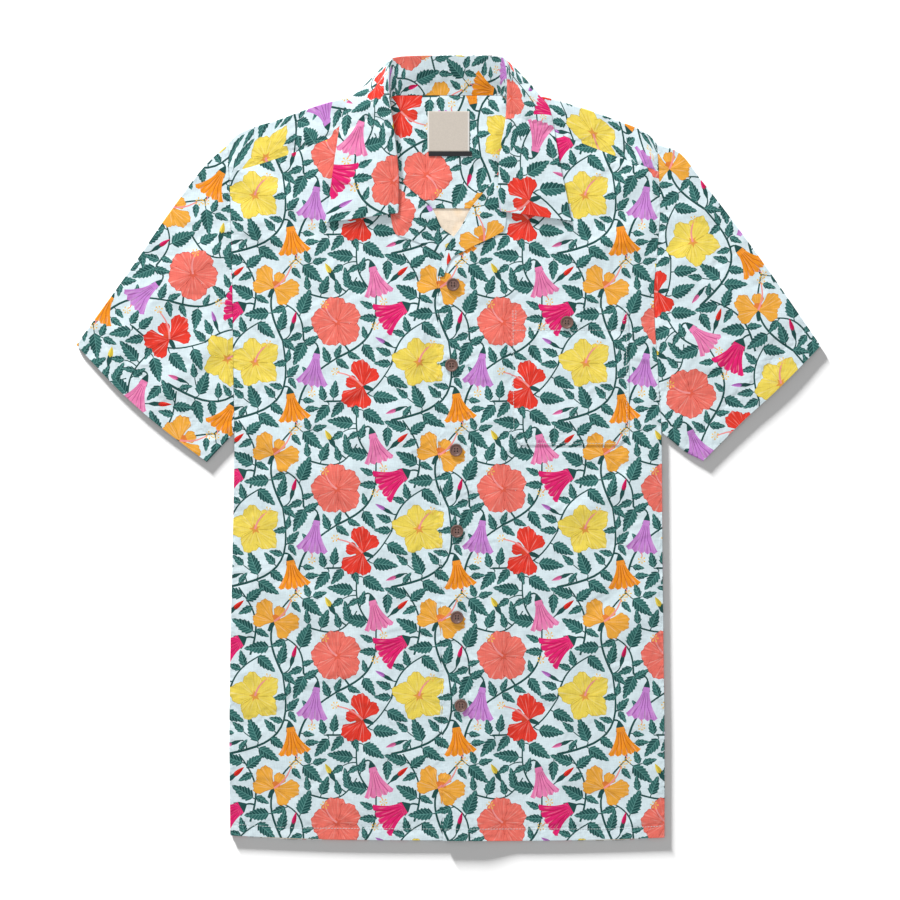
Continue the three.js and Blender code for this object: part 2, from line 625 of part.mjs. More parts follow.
// A turned-out facing: it lies on its front, and its inner edge rolls round the front's edge
function lapel(name, table, frontTable, heightAt) {
  const flat = 0.6; // share of the section that lies flat
  const step = 0.02; // for the direction of the roll line
  const first = table[0].section;
  const last = table[table.length - 1].section;
  const sectionAt = (u) => lerp(first, last, u);
  const frontX = column(frontTable, 'edgeX');
  const frontY = column(frontTable, 'edgeY');
  const freeX = columnBy(table, 'section', 'edgeX');
  const freeY = columnBy(table, 'section', 'edgeY');
  const roll = (u) => {
    const t = sectionAt(u) / (frontTable.length - 1);
    return { x: frontX(t), y: frontY(t) };
  };
  const edge = (u) => ({ x: freeX(sectionAt(u)), y: freeY(sectionAt(u)) });
  const outward = (u) => {
    const a = roll(Math.max(u - step, 0));
    const b = roll(Math.min(u + step, 1));
    const normal = new THREE.Vector2(b.y - a.y, a.x - b.x).normalize();
    const away = new THREE.Vector2(roll(u).x - edge(u).x, roll(u).y - edge(u).y);
    return normal.multiplyScalar(Math.sign(normal.dot(away)) || 1);
  };
  const at = (u, v) => {
    const out = outward(u);
    const turnAt = { x: roll(u).x + out.x * ROLL_GAP, y: roll(u).y + out.y * ROLL_GAP };
    const z = heightAt(turnAt.x, turnAt.y);
    if (v <= flat) {
      const p = mix(edge(u), turnAt, v / flat);
      return { x: p.x, y: p.y, z: heightAt(p.x, p.y) + PLY };
    }
    const turn = ((v - flat) / (1 - flat)) * Math.PI;
    return {
      x: turnAt.x + out.x * FOLD * Math.sin(turn),
      y: turnAt.y + out.y * FOLD * Math.sin(turn),
      z: z + FOLD + FOLD * Math.cos(turn),
    };
  };
  const columns = [0, 0.2, 0.4, 0.6, 0.72, 0.86, 1];
  return piece(name, clothWall({ rows: evenly((first - last) * 4), columns, at }), printed());
}

// Collar: each section climbs the stand from the neck to the roll, then runs down the fall to its edge
function collar() {
  const lineOf = (name) => {
    const axes = [0, 1, 2].map((axis) => column(COLLAR.map((row) => row[name]), axis));
    return (u) => axes.map((along) => along(u));
  };
  const neckAt = lineOf('neck');
  const rollAt = lineOf('roll');
  const edgeAt = lineOf('edge');
  const crownAt = column(COLLAR, 'crown');
  const between = (a, b, t, lift) => [lerp(a[0], b[0], t), lerp(a[1], b[1], t), lerp(a[2], b[2], t) + lift];
  const at = (u, v) => {
    const neck = neckAt(u);
    const roll = rollAt(u);
    const edge = edgeAt(u);
    const crown = crownAt(u);
    const section = [
      neck,
      between(neck, roll, STAND_BEND.share, STAND_BEND.lift),
      roll,
      between(roll, edge, FALL_BEND.share, FALL_BEND.ofCrown * crown),
      between(roll, edge, 0.5, crown),
      edge,
    ];
    const along = (axis) => smoothThrough(SECTION_PLACES, section.map((p) => p[axis]), v);
    return { x: along(0), y: along(1), z: along(2) };
  };
  const columns = [0, 0.12, 0.25, 0.35, 0.4, 0.45, 0.5, 0.6, 0.75, 0.88, 1];
  const rows = evenly((COLLAR.length - 1) * 2);
  return piece('collar', clothWall({ rows, columns, at, wall: COLLAR_WALL }), printed());
}

// Sleeve: a flattened ring of cloth from the armhole to the cuff, folded over and under the arm
function sleeve(name, table, steps) {
  const out = table.side === 'right' ? 1 : -1;
  const armhole = (t) => {
    const y = lerp(ARMHOLE_TOP_Y, UNDERARM_Y, t);
    return { x: bodySide[table.side](y) + out * ARMHOLE_GAP, y };
  };
  const over = curveThrough([armhole(0), ...table.over.slice(1)]);
  const under = curveThrough([armhole(1), ...table.under.slice(1)]);
  const plan = patchBetween(armhole, curveThrough(table.cuff), over, under);
  const bends = [0.25, 0.5, 0.75]; // places round each fold, from the lower layer to the upper
  const inner = evenly(steps).slice(1, -1);
  const ring = [
    { v: 0, turn: 0 },
    ...bends.map((turn) => ({ v: 0, turn })),
    { v: 0, turn: 1 },
    ...inner.map((v) => ({ v, turn: 1 })),
    { v: 1, turn: 1 },
    ...[...bends].reverse().map((turn) => ({ v: 1, turn })),
    { v: 1, turn: 0 },
    ...[...inner].reverse().map((v) => ({ v, turn: 0 })),
  ];
  const at = (u, k) => {
    const { v, turn } = ring[Math.round(k * ring.length)];
    const p = plan(u, v);
    const [top, foot] = [plan(u, 0), plan(u, 1)];
    const across = new THREE.Vector2(foot.x - top.x, foot.y - top.y).normalize();
    const angle = (turn - 0.5) * Math.PI;
    const inset = v === 0 || v === 1 ? FOLD * (1 - Math.cos(angle)) * (v === 0 ? 1 : -1) : 0;
    const x = p.x + across.x * inset;
    const y = p.y + across.y * inset;
    const air = SLEEVE_AIR * u * u * Math.sin(Math.PI * v) + swell(x, y);
    const half = FOLD + (air / 2) * (turn === 1 ? 1 : 0);
    const middle = CLOTH / 2 + half;
    return { x, y, z: middle + half * Math.sin(angle) };
  };
  const columns = ring.map((_, i) => i / ring.length);
  return piece(name, clothWall({ rows: evenly(10), columns, at, ring: true }), printed());
}

// Pocket: its points are those of the front under it, moved out by one layer
function pocket() {
  const heightAt = (x, y) => leftFrontZ(x, y) + PLY;
  return levelPiece('pocket', POCKET_LEVELS, POCKET_ROWS, 8, heightAt, CLOTH, printed());
}

// A four-hole button with a raised rim, standing on z = 0
function buttonGeometry() {
  const dish = BUTTON_HEIGHT - BUTTON_DISH;
  const edge = 0.5; // chamfer
  const profile = [
    [0, 0],
    [BUTTON_RADIUS - edge, 0],
    [BUTTON_RADIUS, edge],
    [BUTTON_RADIUS, BUTTON_HEIGHT - edge],
    [BUTTON_RADIUS - edge, BUTTON_HEIGHT],
    [BUTTON_RADIUS - BUTTON_RIM, BUTTON_HEIGHT - edge / 2],
    [BUTTON_RADIUS - BUTTON_RIM - edge, dish],
    [0, dish],
  ].map(([r, z]) => new THREE.Vector2(r, z));
  const disc = new THREE.LatheGeometry(profile, BUTTON_SIDES).rotateX(Math.PI / 2);
  let solid = toSolid(disc);
  for (const [sx, sy] of [[1, 1], [-1, 1], [-1, -1], [1, -1]]) {
    const hole = new THREE.CylinderGeometry(HOLE_RADIUS, HOLE_RADIUS, BUTTON_HEIGHT * 3, HOLE_SIDES);
    hole.rotateX(Math.PI / 2).translate(sx * HOLE_OFFSET, sy * HOLE_OFFSET, 0);
    solid = solid.subtract(toSolid(hole));
  }
  return fromSolid(solid);
}

function button({ name, x, y }, clothZ) {
  const mesh = piece(name, buttonGeometry(), hornBrown());
  mesh.position.set(x, y, clothZ + CLOTH / 2 + GAP);
  return mesh;
}

// A small flat rectangle sewn on the yoke's inside layer
function sewnLabel(name, { left, right, foot, top }, color) {
  const levels = [{ y: foot, left, right }, { y: top, left, right }];
  const height = () => 2 * PLY + LABEL_WALL / 2;
  return levelPiece(name, levels, [foot, top], 1, height, LABEL_WALL, woven(color));
}

const shirt = new THREE.Group();
shirt.add(
  back(),
  yokeOuter(),
  yokeInner(),
  front('front_right', FRONT_RIGHT, 'left', rightFrontZ),
  front('front_left', FRONT_LEFT, 'right', leftFrontZ),
  lapel('lapel_right', LAPEL_RIGHT, FRONT_RIGHT, rightFrontZ),
  lapel('lapel_left', LAPEL_LEFT, FRONT_LEFT, leftFrontZ),
  collar(),
  sleeve('sleeve_right', SLEEVE_RIGHT, 8),
  sleeve('sleeve_left', SLEEVE_LEFT, 8),
  pocket(),
  sewnLabel('neck_label', LABEL, COLOURS.label),
  sewnLabel('size_tab', TAB, COLOURS.tab),
  ...BUTTONS.map((spot) => button(spot, leftFrontZ(spot.x, spot.y))),
  button(POCKET_BUTTON, leftFrontZ(POCKET_BUTTON.x, POCKET_BUTTON.y) + PLY),
);

export default shirt;
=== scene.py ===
"""Looks of a short-sleeved printed shirt that lies on its back.

Tables and heights are in millimetres, in the part's own frame: +X the wearer's left, +Y from hem to collar, +Z up.
Each cloth piece is a cut: a flat outline with the print's shapes inlaid in it, cut into triangles and laid on a
surface that is a function of the cut's two coordinates.
"""

import bpy
import numpy as np
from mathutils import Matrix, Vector
from mathutils.geometry import delaunay_2d_cdt


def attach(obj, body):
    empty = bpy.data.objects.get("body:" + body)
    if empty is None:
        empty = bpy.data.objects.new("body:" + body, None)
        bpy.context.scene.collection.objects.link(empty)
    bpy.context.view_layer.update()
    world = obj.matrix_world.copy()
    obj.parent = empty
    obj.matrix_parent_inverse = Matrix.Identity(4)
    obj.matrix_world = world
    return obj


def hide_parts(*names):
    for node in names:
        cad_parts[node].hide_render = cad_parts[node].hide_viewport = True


bl_info = {
    "name": "Laid shirt",
    "version": (1, 0, 0),
    "blender": (4, 5, 0),
    "location": "View3D > Sidebar > Shirt",
    "description": "Builds the cloth, print, buttons and stitching of a shirt that lies flat",
    "category": "Object",
}

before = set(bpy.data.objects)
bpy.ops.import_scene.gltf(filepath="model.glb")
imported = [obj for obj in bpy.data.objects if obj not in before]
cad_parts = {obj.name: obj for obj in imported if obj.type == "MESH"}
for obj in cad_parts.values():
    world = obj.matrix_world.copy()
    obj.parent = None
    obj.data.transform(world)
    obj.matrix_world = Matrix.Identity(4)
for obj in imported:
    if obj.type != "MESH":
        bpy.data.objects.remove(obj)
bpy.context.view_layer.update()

MM = 0.001
PLY_GAP = 0.3
BACK_SEAM_Y = 253.1
BACK_NECK_Y = 370.4
NECK_RIGHT_X = 63.0
NECK_LEFT_X = -64.0
ARMHOLE_TOP_Y = 319.7
UNDERARM_Y = 16.8
SIDE_Y = -116.6
PLACKET = (-12.0, 28.0)  # sides of the buttoned overlap
CREASE_RISE = 1.7
RIM_BULGE = 0.42
MAP_MARGIN = 0.005
VEIN_PACE = 3.6
WEAVE_PACE = 12566.0


def table(names, rows):
    """A table's columns by name, as arrays."""
    return dict(zip(names.split(), np.array(rows, float).T))


def plan(rows):
    """A table's x and y as points."""
    return np.stack([rows["x"], rows["y"]], 1)


# Shape of the shirt


BODY = table("y left right", [
    (-410.6, -228.4, 226.3), (-305.6, -229.4, 226.3), (-211.1, -228.4, 225.2), (-116.6, -226.3, 224.2),
    (15.8, -224.2, 223.1), (71.4, -225.2, 220.0), (162.8, -226.3, 215.2), (209.0, -227.3, 218.9),
    (253.1, -228.4, 221.6), (319.7, -231.0, 218.4),
])
HEM = table("x y", [(-228.4, -405.3), (-155.9, -409.5), (12.1, -410.6), (159.1, -410.6), (226.3, -407.4)])
SHOULDER = {
    "right": table("x y", [
        (218.4, 319.7), (210.5, 328.7), (173.8, 345.4), (127.6, 361.2), (101.3, 368.6), (63.0, 374.3),
    ]),
    "left": table("x y", [
        (-231.0, 319.7), (-223.1, 328.7), (-176.9, 345.4), (-132.8, 361.2), (-103.4, 368.6), (-64.0, 374.3),
    ]),
}
FRONT_LEFT = table("side_y edge_x edge_y bow", [
    (-407.4, -5.8, -410.6, 1.5), (-263.6, -6.8, -263.6, 0), (-116.6, -7.9, -116.6, 0), (15.8, -8.9, 9.5, 0),
    (71.4, -9.6, 71.4, 0), (162.8, -10.5, 167.0, 0), (177.5, -7.2, 190.1, 0), (196.3, -0.5, 210.0, 0),
    (214.2, 14.2, 231.0, 0), (235.2, 25.7, 252.0, 0), (253.1, 38.3, 267.8, 0), (266.7, 50.9, 286.7, 0.5),
    (278.2, 60.4, 316.1, 1), (285.6, 63.0, 334.9, 1.5), (290.9, 63.0, 353.9, 2),
])
FRONT_RIGHT = table("side_y edge_x edge_y bow", [
    (-405.3, 24.7, -410.0, 2), (-263.6, 23.6, -263.6, 0), (-116.6, 22.6, -116.6, 0), (15.8, 22.1, 9.5, 0),
    (71.4, 21.5, 71.4, 0), (156.5, 22.6, 161.7, 0), (182.7, 20.5, 188.0, 0), (200.6, 14.2, 209.0, 0),
    (216.3, 3.0, 221.9, 0), (230.0, -8.2, 230.4, 0), (245.7, -19.4, 252.0, 0), (258.3, -35.2, 265.7, 0),
    (269.9, -52.0, 282.4, 1), (278.2, -61.4, 313.9, 3), (284.6, -64.0, 334.9, 4), (288.8, -64.0, 353.9, 5),
])
LAPEL_LEFT = table("section x y", [
    (11, 57.2, 284.6), (10, 59.3, 261.4), (9, 60.4, 247.8), (8.5, 59.3, 231.0), (8.25, 43.4, 220.9),
    (8, 28.9, 214.2), (7.5, 15.2, 206.9), (7, 5.8, 202.2), (6, -1.6, 191.3), (5.5, -5.0, 180.6),
])
LAPEL_RIGHT = table("section x y", [
    (12, -58.3, 280.4), (11, -59.9, 261.4), (10, -60.4, 247.8), (9.5, -55.7, 226.3), (9, -38.3, 219.5),
    (8.5, -21.5, 212.1), (8, -5.4, 201.6), (7, 8.0, 188.0), (6, 15.0, 178.4),
])
COLLAR = table("neck_x neck_y neck_z roll_x roll_y roll_z edge_x edge_y edge_z crown", [
    (56.2, 248.9, 6.0, 54.1, 249.3, 6.9, 128.2, 239.4, 3.5, 1.0),
    (55.7, 269.9, 6.0, 52.3, 269.9, 8.0, 122.9, 268.8, 3.5, 1.6),
    (57.8, 292.9, 5.8, 53.0, 294.0, 8.8, 117.6, 292.9, 3.5, 2.0),
    (59.0, 316.1, 4.6, 55.1, 316.1, 9.6, 113.5, 316.1, 3.5, 2.0),
    (61.5, 338.0, 4.0, 59.6, 341.0, 10.6, 109.4, 341.0, 3.5, 1.8),
    (61.5, 353.0, 3.7, 61.2, 361.0, 11.6, 105.5, 357.0, 3.7, 1.2),
    (61.3, 364.0, 3.0, 61.8, 380.0, 12.6, 94.7, 371.7, 3.8, 0.4),
    (59.5, 369.5, 2.4, 61.6, 396.0, 13.2, 77.2, 391.7, 3.0, -1.0),
    (53.0, 371.2, 1.9, 57.5, 408.2, 13.2, 59.8, 406.5, 1.6, -2.0),
    (41.0, 371.4, 1.8, 43.0, 410.4, 13.0, 43.0, 394.0, 0.7, -4.0),
    (22.0, 371.4, 1.8, 22.0, 410.4, 13.0, 22.0, 381.0, 0.6, -5.0),
    (0.0, 371.4, 1.8, 0.0, 410.4, 13.0, 0.0, 377.0, 0.6, -5.0),
    (-22.0, 371.4, 1.8, -22.0, 410.2, 13.0, -22.0, 381.0, 0.6, -5.0),
    (-42.0, 371.4, 1.8, -44.0, 409.6, 13.0, -44.0, 394.0, 0.7, -4.0),
    (-54.0, 371.2, 1.9, -58.6, 407.4, 13.2, -61.0, 406.0, 1.6, -2.0),
    (-60.5, 369.5, 2.4, -62.4, 395.0, 13.2, -75.6, 393.8, 3.0, -1.0),
    (-62.3, 364.0, 3.0, -62.4, 380.0, 12.6, -91.9, 377.0, 3.4, 0.4),
    (-62.5, 353.0, 3.7, -61.2, 361.0, 11.6, -106.0, 363.5, 3.8, 1.2),
    (-62.5, 338.0, 4.0, -58.3, 341.0, 10.6, -112.5, 344.0, 3.5, 1.8),
    (-59.8, 316.1, 4.6, -55.1, 316.1, 9.6, -117.1, 316.1, 3.5, 2.0),
    (-57.4, 292.9, 5.8, -52.8, 292.9, 8.8, -120.8, 291.0, 3.5, 2.0),
    (-55.5, 269.9, 6.0, -52.0, 268.8, 8.0, -124.4, 264.6, 3.5, 1.6),
    (-54.9, 247.8, 6.0, -52.8, 247.3, 6.9, -129.2, 237.3, 3.5, 1.0),
])
SLEEVE = {
    "right": {
        "over": [(218.4, 319.7), (238.9, 312.9), (265.1, 282.4), (322.9, 205.8), (390.6, 108.2)],
        "cuff": [(390.6, 108.2), (344.9, 62.0), (310.3, 30.5), (267.2, -12.6)],
        "under": [(223.1, 16.8), (246.0, 0.5), (267.2, -12.6)],
        "peek": 2.6,
    },
    "left": {
        "over": [(-231.0, 319.7), (-253.6, 299.2), (-291.4, 249.9), (-333.4, 189.0), (-390.6, 109.2)],
        "cuff": [(-390.6, 109.2), (-346.0, 62.0), (-311.3, 30.5), (-253.6, -13.7)],
        "under": [(-224.2, 16.8), (-239.9, 1.1), (-253.6, -13.7)],
        "peek": 0.0,
    },
}
LINING = table("y left right", [
    (252.7, -70.9, 70.9), (313.9, -68.8, 67.7), (330.8, -61.8, 60.7), (364.0, -61.8, 60.9), (370.4, -56.5, 55.5),
])
POCKET = table("y left right", [
    (4.2, 76.1, 178.0), (15.8, 66.7, 189.0), (80.0, 66.1, 188.8), (147.0, 65.6, 188.5),
])
BUTTONS = table("x y", [
    (4.7, 172.2), (3.2, 87.7), (7.9, -1.1), (8.9, -86.1), (8.9, -176.4), (13.1, -268.8), (124.1, 132.6),
])
BUTTON_NAMES = ["button_1", "button_2", "button_3", "button_4", "button_5", "button_6", "button_pocket"]
CREASES = table("from_x from_y to_x to_y width height", [
    (-222, 292, -170, 258, 14, 1.6), (-208, 240, -150, 206, 16, 1.5), (206, 300, 170, 262, 14, 1.6),
    (206, 236, 156, 206, 16, 1.4), (44, 110, 48, -70, 15, 1.4), (54, -110, 44, -330, 16, 1.2),
    (-40, 130, -52, -40, 17, 1.3), (-200, 20, -120, -40, 17, 1.5), (198, -30, 128, -66, 16, 1.4),
    (-206, -140, -128, -176, 18, 1.4), (204, -170, 120, -214, 18, 1.4), (-120, -230, -88, -372, 18, 1.2),
    (110, -262, 128, -380, 17, 1.2), (250, 200, 330, 128, 17, 1.5), (244, 120, 300, 66, 15, 1.3),
    (-252, 206, -332, 126, 17, 1.5), (-246, 112, -300, 62, 15, 1.3),
])


def slopes(places, values):
    """Tangents of a curve through values at places that keep it from overshooting: the weighted harmonic mean of
    the slopes on both sides of each place, and none where those differ in sign."""
    step = np.diff(places).reshape(-1, *[1] * (values.ndim - 1))
    slope = np.diff(values, axis=0) / step
    a, b = 2 * step[1:] + step[:-1], step[1:] + 2 * step[:-1]
    same = slope[:-1] * slope[1:] > 0
    before, after = np.where(same, slope[:-1], 1), np.where(same, slope[1:], 1)
    inner = np.where(same, (a + b) / (a / before + b / after), 0)
    return np.concatenate([slope[:1], inner, slope[-1:]])


def cubic(t, width, start, end, start_slope, end_slope):
    """The cubic between two values with given slopes, at share t of its width."""
    rise = 3 * t**2 - 2 * t**3
    return (
        start * (1 - rise) + end * rise
        + start_slope * (t**3 - 2 * t**2 + t) * width + end_slope * (t**3 - t**2) * width
    )


def through(places, values, at):
    """A smooth curve through values at places: a cubic between each two, with the tangents of slopes."""
    order = np.argsort(places)
    p, v = np.asarray(places, float)[order], np.asarray(values, float)[order]
    tangent = slopes(p, v)
    at = np.clip(at, p[0], p[-1])
    i = np.clip(np.searchsorted(p, at, side="right") - 1, 0, len(p) - 2)
    width = np.diff(p)[i]
    return cubic((at - p[i]) / width, width, v[i], v[i + 1], tangent[i], tangent[i + 1])


def section_through(places, points, at):
    """The same curve through the stations of many sections at once, each at its own share of its section."""
    p, v = np.array(places, float), np.stack(points)
    tangent = slopes(p, v)
    i = np.clip(np.searchsorted(p, at, side="right") - 1, 0, len(p) - 2)
    k = np.arange(len(at))
    width = np.diff(p)[i][:, None]
    return cubic((at - p[i])[:, None] / width, width, v[i, k], v[i + 1, k], tangent[i, k], tangent[i + 1, k])


def column(rows, name, t):
    """A table's column as a function of the row, from 0 at the first row to 1 at the last."""
    return through(even(len(rows[name])), rows[name], t)


def reach_along(points):
    """The length of a polyline up to each of its points."""
    return np.concatenate([[0], np.cumsum(np.linalg.norm(np.diff(points, axis=0), axis=1))])


def curve(points, t):
    """A plan curve through points, followed at an even pace."""
    points = np.array(points, float)
    reach = reach_along(points)
    return np.stack([through(reach / reach[-1], points[:, k], t) for k in (0, 1)], -1)


def ramp(x, low, high):
    """A smooth step from 0 at low to 1 at high."""
    t = np.clip((x - low) / (high - low), 0, 1)
    return t * t * (3 - 2 * t)


def even(count):
    """Numbers from 0 to 1 in even steps."""
    return np.linspace(0, 1, count)


def lerp(a, b, t):
    """The point at share t between a and b."""
    return a + (b - a) * t


def line_distance(x, y, points, closed=False):
    """Distance in plan from each place to a polyline."""
    points = np.asarray(points, float)
    ends = np.roll(points, -1, axis=0) if closed else points[1:]
    least = np.full(np.shape(x), np.inf)
    for (ax, ay), (bx, by) in zip(points, ends):
        dx, dy = bx - ax, by - ay
        t = np.clip(((x - ax) * dx + (y - ay) * dy) / (dx * dx + dy * dy), 0, 1)
        least = np.minimum(least, np.hypot(x - ax - t * dx, y - ay - t * dy))
    return least


def side_x(side, y):
    """The body's side seam and armhole seen from above."""
    return through(BODY["y"], BODY[side], np.minimum(y, ARMHOLE_TOP_Y))


def outline_points():
    """The garment's outline in plan, from the hem up the right side, over the shoulders and down the left."""
    right, left = SLEEVE["right"], SLEEVE["left"]
    shoulders = [plan(SHOULDER[side]) for side in ("right", "left")]
    flanks = [[(side_x(side, SIDE_Y), SIDE_Y)] for side in ("right", "left")]
    return np.concatenate([
        plan(HEM), flanks[0], right["under"], right["cuff"][-2::-1], right["over"][-2:0:-1], shoulders[0],
        shoulders[1][::-1], left["over"][1:], left["cuff"][1:], left["under"][-2::-1], flanks[1],
    ])


OUTLINE = outline_points()


def swell(x, y):
    """Rise of the top layer over its flat lie: each crease is a bell across its line, and it dies out at the
    garment's outline and on the buttoned overlap."""
    rise = np.zeros(np.shape(x))
    for from_x, from_y, to_x, to_y, width, height in zip(*CREASES.values()):
        away = line_distance(x, y, [(from_x, from_y), (to_x, to_y)])
        rise += CREASE_RISE * height * np.exp(-((away / width) ** 2))
    off = np.maximum(np.maximum(PLACKET[0] - x, x - PLACKET[1]), 0)
    return rise * ramp(line_distance(x, y, OUTLINE, True), 0, 16) * ramp(off, 0, 20)


def over_lining(x, y):
    """How far the fronts lie on the yoke's inside layer: 1 over it, 0 clear of it."""
    return ramp(y, 228, 250) * (1 - ramp(y, 326, 344)) * (1 - ramp(np.abs(x), 74, 90))


def right_front_z(x, y):
    """Middle surface of the wearer's right front, one layer up from the back."""
    return sizes().cloth / 2 + ply() * (1 + over_lining(x, y)) + swell(x, y)


def left_front_z(x, y):
    """Middle surface of the wearer's left front, which also climbs over the right front and the right lapel."""
    stacked = (1 - ramp(x, 24, 70)) * (1 + ramp(y, 138, 164))
    return sizes().cloth / 2 + ply() * (1 + np.maximum(over_lining(x, y), stacked)) + swell(x, y)


# The print


TILE = np.array([172.0, 175.0])
PLAIN, LEAF, PETAL, REVERSE = 0, 1, 2, 3


def turned(points, angle, at=(0.0, 0.0)):
    """Points turned by an angle in degrees about the origin, then moved."""
    a = np.radians(angle)
    return points @ np.array([[np.cos(a), np.sin(a)], [-np.sin(a), np.cos(a)]]) + np.asarray(at)


def heading(angle):
    """The direction at an angle in degrees."""
    return np.array([np.cos(np.radians(angle)), np.sin(np.radians(angle))])


def petal(reach, spread, seed, grow=0.0, point=0.0):
    """A petal seen flat: its rim reaches furthest on its axis, falls to the sides, and is ruffled by two waves.
    point draws the rim out to a tip."""
    a = np.linspace(-1, 1, 23)
    ruffle = 1 + 0.026 * np.sin(9 * a + seed) + 0.022 * np.sin(19 * a + 2 * seed)
    r = reach * (1 - (0.27 + 0.13 * point) * np.abs(a) ** (2.5 - point)) * ruffle + grow
    h = spread * (1 + grow / reach)
    waist = 0.45 * reach * heading(np.degrees(0.8 * h)) + [0, grow]
    rim = np.stack([r * np.cos(h * a), r * np.sin(h * a)], 1)
    return np.concatenate([[[-grow, 0.0]], [waist * [1, -1]], rim, [waist]])


def brush(points, start, end):
    """A stroke along points, whose width goes from start to end."""
    d = np.gradient(points, axis=0)
    n = np.stack([-d[:, 1], d[:, 0]], 1) / np.linalg.norm(d, axis=1)[:, None]
    w = np.linspace(start, end, len(points))[:, None] / 2
    return np.concatenate([points + n * w, (points - n * w)[::-1]])


def bowed(start, end, bend, count):
    """Points from start to end on an arc that stands off the chord by bend times its length."""
    start, end = np.array(start, float), np.array(end, float)
    t = even(count)[:, None]
    along = end - start
    return start + t * along + bend * np.array([-along[1], along[0]]) * np.sin(np.pi * t)


def sparkle(at, size, turn):
    """A burst of pollen: six short hairs, each with a dot at its end."""
    a = np.arange(5) * 2 * np.pi / 5
    made = []
    for k in range(6):
        arm = heading(turn + 60 * k) * size * (1 + 0.14 * np.sin(2.3 * k))
        made.append(("pollen", PLAIN, brush(np.array([0.25 * arm, arm]) + at, 0.45, 0.45)))
        made.append(("pollen", PLAIN, np.asarray(at) + arm + 0.95 * np.stack([np.cos(a), np.sin(a)], 1)))
    return made


def stamens(end, bend):
    """The stamen column from the flower's middle, with a burst of pollen at its end."""
    line = bowed((0, 0), end, bend, 7)
    return [("stamen", PLAIN, brush(line, 2.1, 1.2)), *sparkle(np.array(end) * 1.07, 3.4, 17)]


def petals(ink, reach, spread, seed, turns, point=0.0):
    """Petals at the given turns and shares of the reach, each with a thin line of a deeper tone round it."""
    return [
        (name, PETAL, turned(petal(reach * size, spread, seed + turn, grow, point), turn))
        for turn, size in turns
        for grow, name in ((0.5, ink + "_line"), (0.0, ink))
    ]


def open_flower(ink, reach, point, seed):
    """A five-petalled flower seen from the front, with a star-shaped throat and its stamens."""
    a = 2 * np.pi * even(21)[:-1]
    ring = np.stack([np.cos(a), np.sin(a)], 1)
    star = ring * (reach * (0.11 + 0.13 * np.cos(2.5 * a) ** 6))[:, None]
    turns = [(72 * k + 6 * np.sin(seed + 2 * k), 1 + 0.06 * np.sin(3 * k + seed)) for k in range(5)]
    return [
        (ink, PETAL, 0.5 * reach * ring), *petals(ink, reach, 0.76, seed, turns, point),
        (ink + "_deep", PLAIN, star), *stamens((reach * 0.74, reach * 0.34), 0.10),
    ]


def side_flower(ink, reach, point, seed):
    """The same flower from the side: two wings of two petals with a smaller one between, and the heart."""
    turns = [(-108, 0.80), (112, 0.84), (0, 0.66), (-62, 1.0), (64, 0.98)]
    heart = turned(petal(reach * 0.30, 0.9, seed), 0)
    calyx = np.array([(-0.62, -0.07), (-0.30, -0.13), (0.05, -0.10), (0.05, 0.10), (-0.30, 0.13), (-0.62, 0.07)])
    return [
        ("vine", PLAIN, calyx * reach * 0.72), *petals(ink, reach, 0.52, seed, turns, point),
        (ink + "_deep", PLAIN, heart), *stamens((reach * 1.12, -reach * 0.16), -0.10),
    ]


def bell(ink, length, mouth, throat, seed):
    """A bell-shaped flower: it flares from its throat to a mouth of five frilled lobes, with a fold line between
    each two lobes, its calyx behind and pollen below."""
    t = 0.84 * even(9)
    half = mouth * (throat + (0.47 - throat) * (t / 0.84) ** 1.9)

    def lip(a):
        lobe = np.abs(np.cos(2.5 * np.pi * a)) ** 0.7
        return length * (0.83 + 0.10 * np.cos(1.4 * a) + 0.075 * lobe + 0.012 * np.sin(31 * a + seed))

    a = np.linspace(1, -1, 41)
    frill = np.stack([lip(a), 0.5 * mouth * a], 1)
    body = np.concatenate([np.stack([length * t, half], 1), frill, np.stack([length * t, -half], 1)[::-1]])
    folds = [
        (ink + "_line", PETAL, brush(np.array([
            (length * 0.16, mouth * throat * f * 0.9), (length * 0.55, mouth * f * (throat + 0.10)),
            (lip(f) - 0.6, 0.5 * mouth * f),
        ]), 0.5, 1.1))
        for f in (-0.6, -0.2, 0.2, 0.6)
    ]
    m = mouth * throat
    cup = np.array([
        (-7.0, -0.9), (-1.5, -m * 0.9), (4.5, -m * 1.25), (2.6, 0.0), (4.5, m * 1.25), (-1.5, m * 0.9), (-7.0, 0.9),
    ])
    return [
        ("vine", PLAIN, cup), (ink, PETAL, body), *folds,
        ("stamen", PLAIN, brush(bowed((length * 0.98, 0.4), (length * 1.14, 1.6), 0.1, 3), 1.4, 0.9)),
        *sparkle((length * 1.2, 2.0), 3.2, 10 * seed),
    ]


def bud(ink, length, width):
    """A closed bud: a pointed body, deeper on one side, in its calyx."""
    t = even(8)
    w = width / 2 * np.sin(np.pi * t**0.8) ** 0.9
    upper, lower = np.stack([length * t, w], 1), np.stack([length * t, -w], 1)[-2:0:-1]
    shade = np.stack([length * t, 0.25 * w], 1)
    n, h = length, width / 4.4
    cup = np.array([
        (-6.5, -0.7), (-0.5, -2.2 * h), (n * 0.36, -1.6 * h), (n * 0.2, 0), (n * 0.36, 1.6 * h), (-0.5, 2.2 * h), (-6.5, 0.7),
    ])
    return [
        (ink, PLAIN, np.concatenate([upper, lower])), (ink + "_line", PLAIN, np.concatenate([shade, lower])),
        ("vine", PLAIN, cup),
    ]


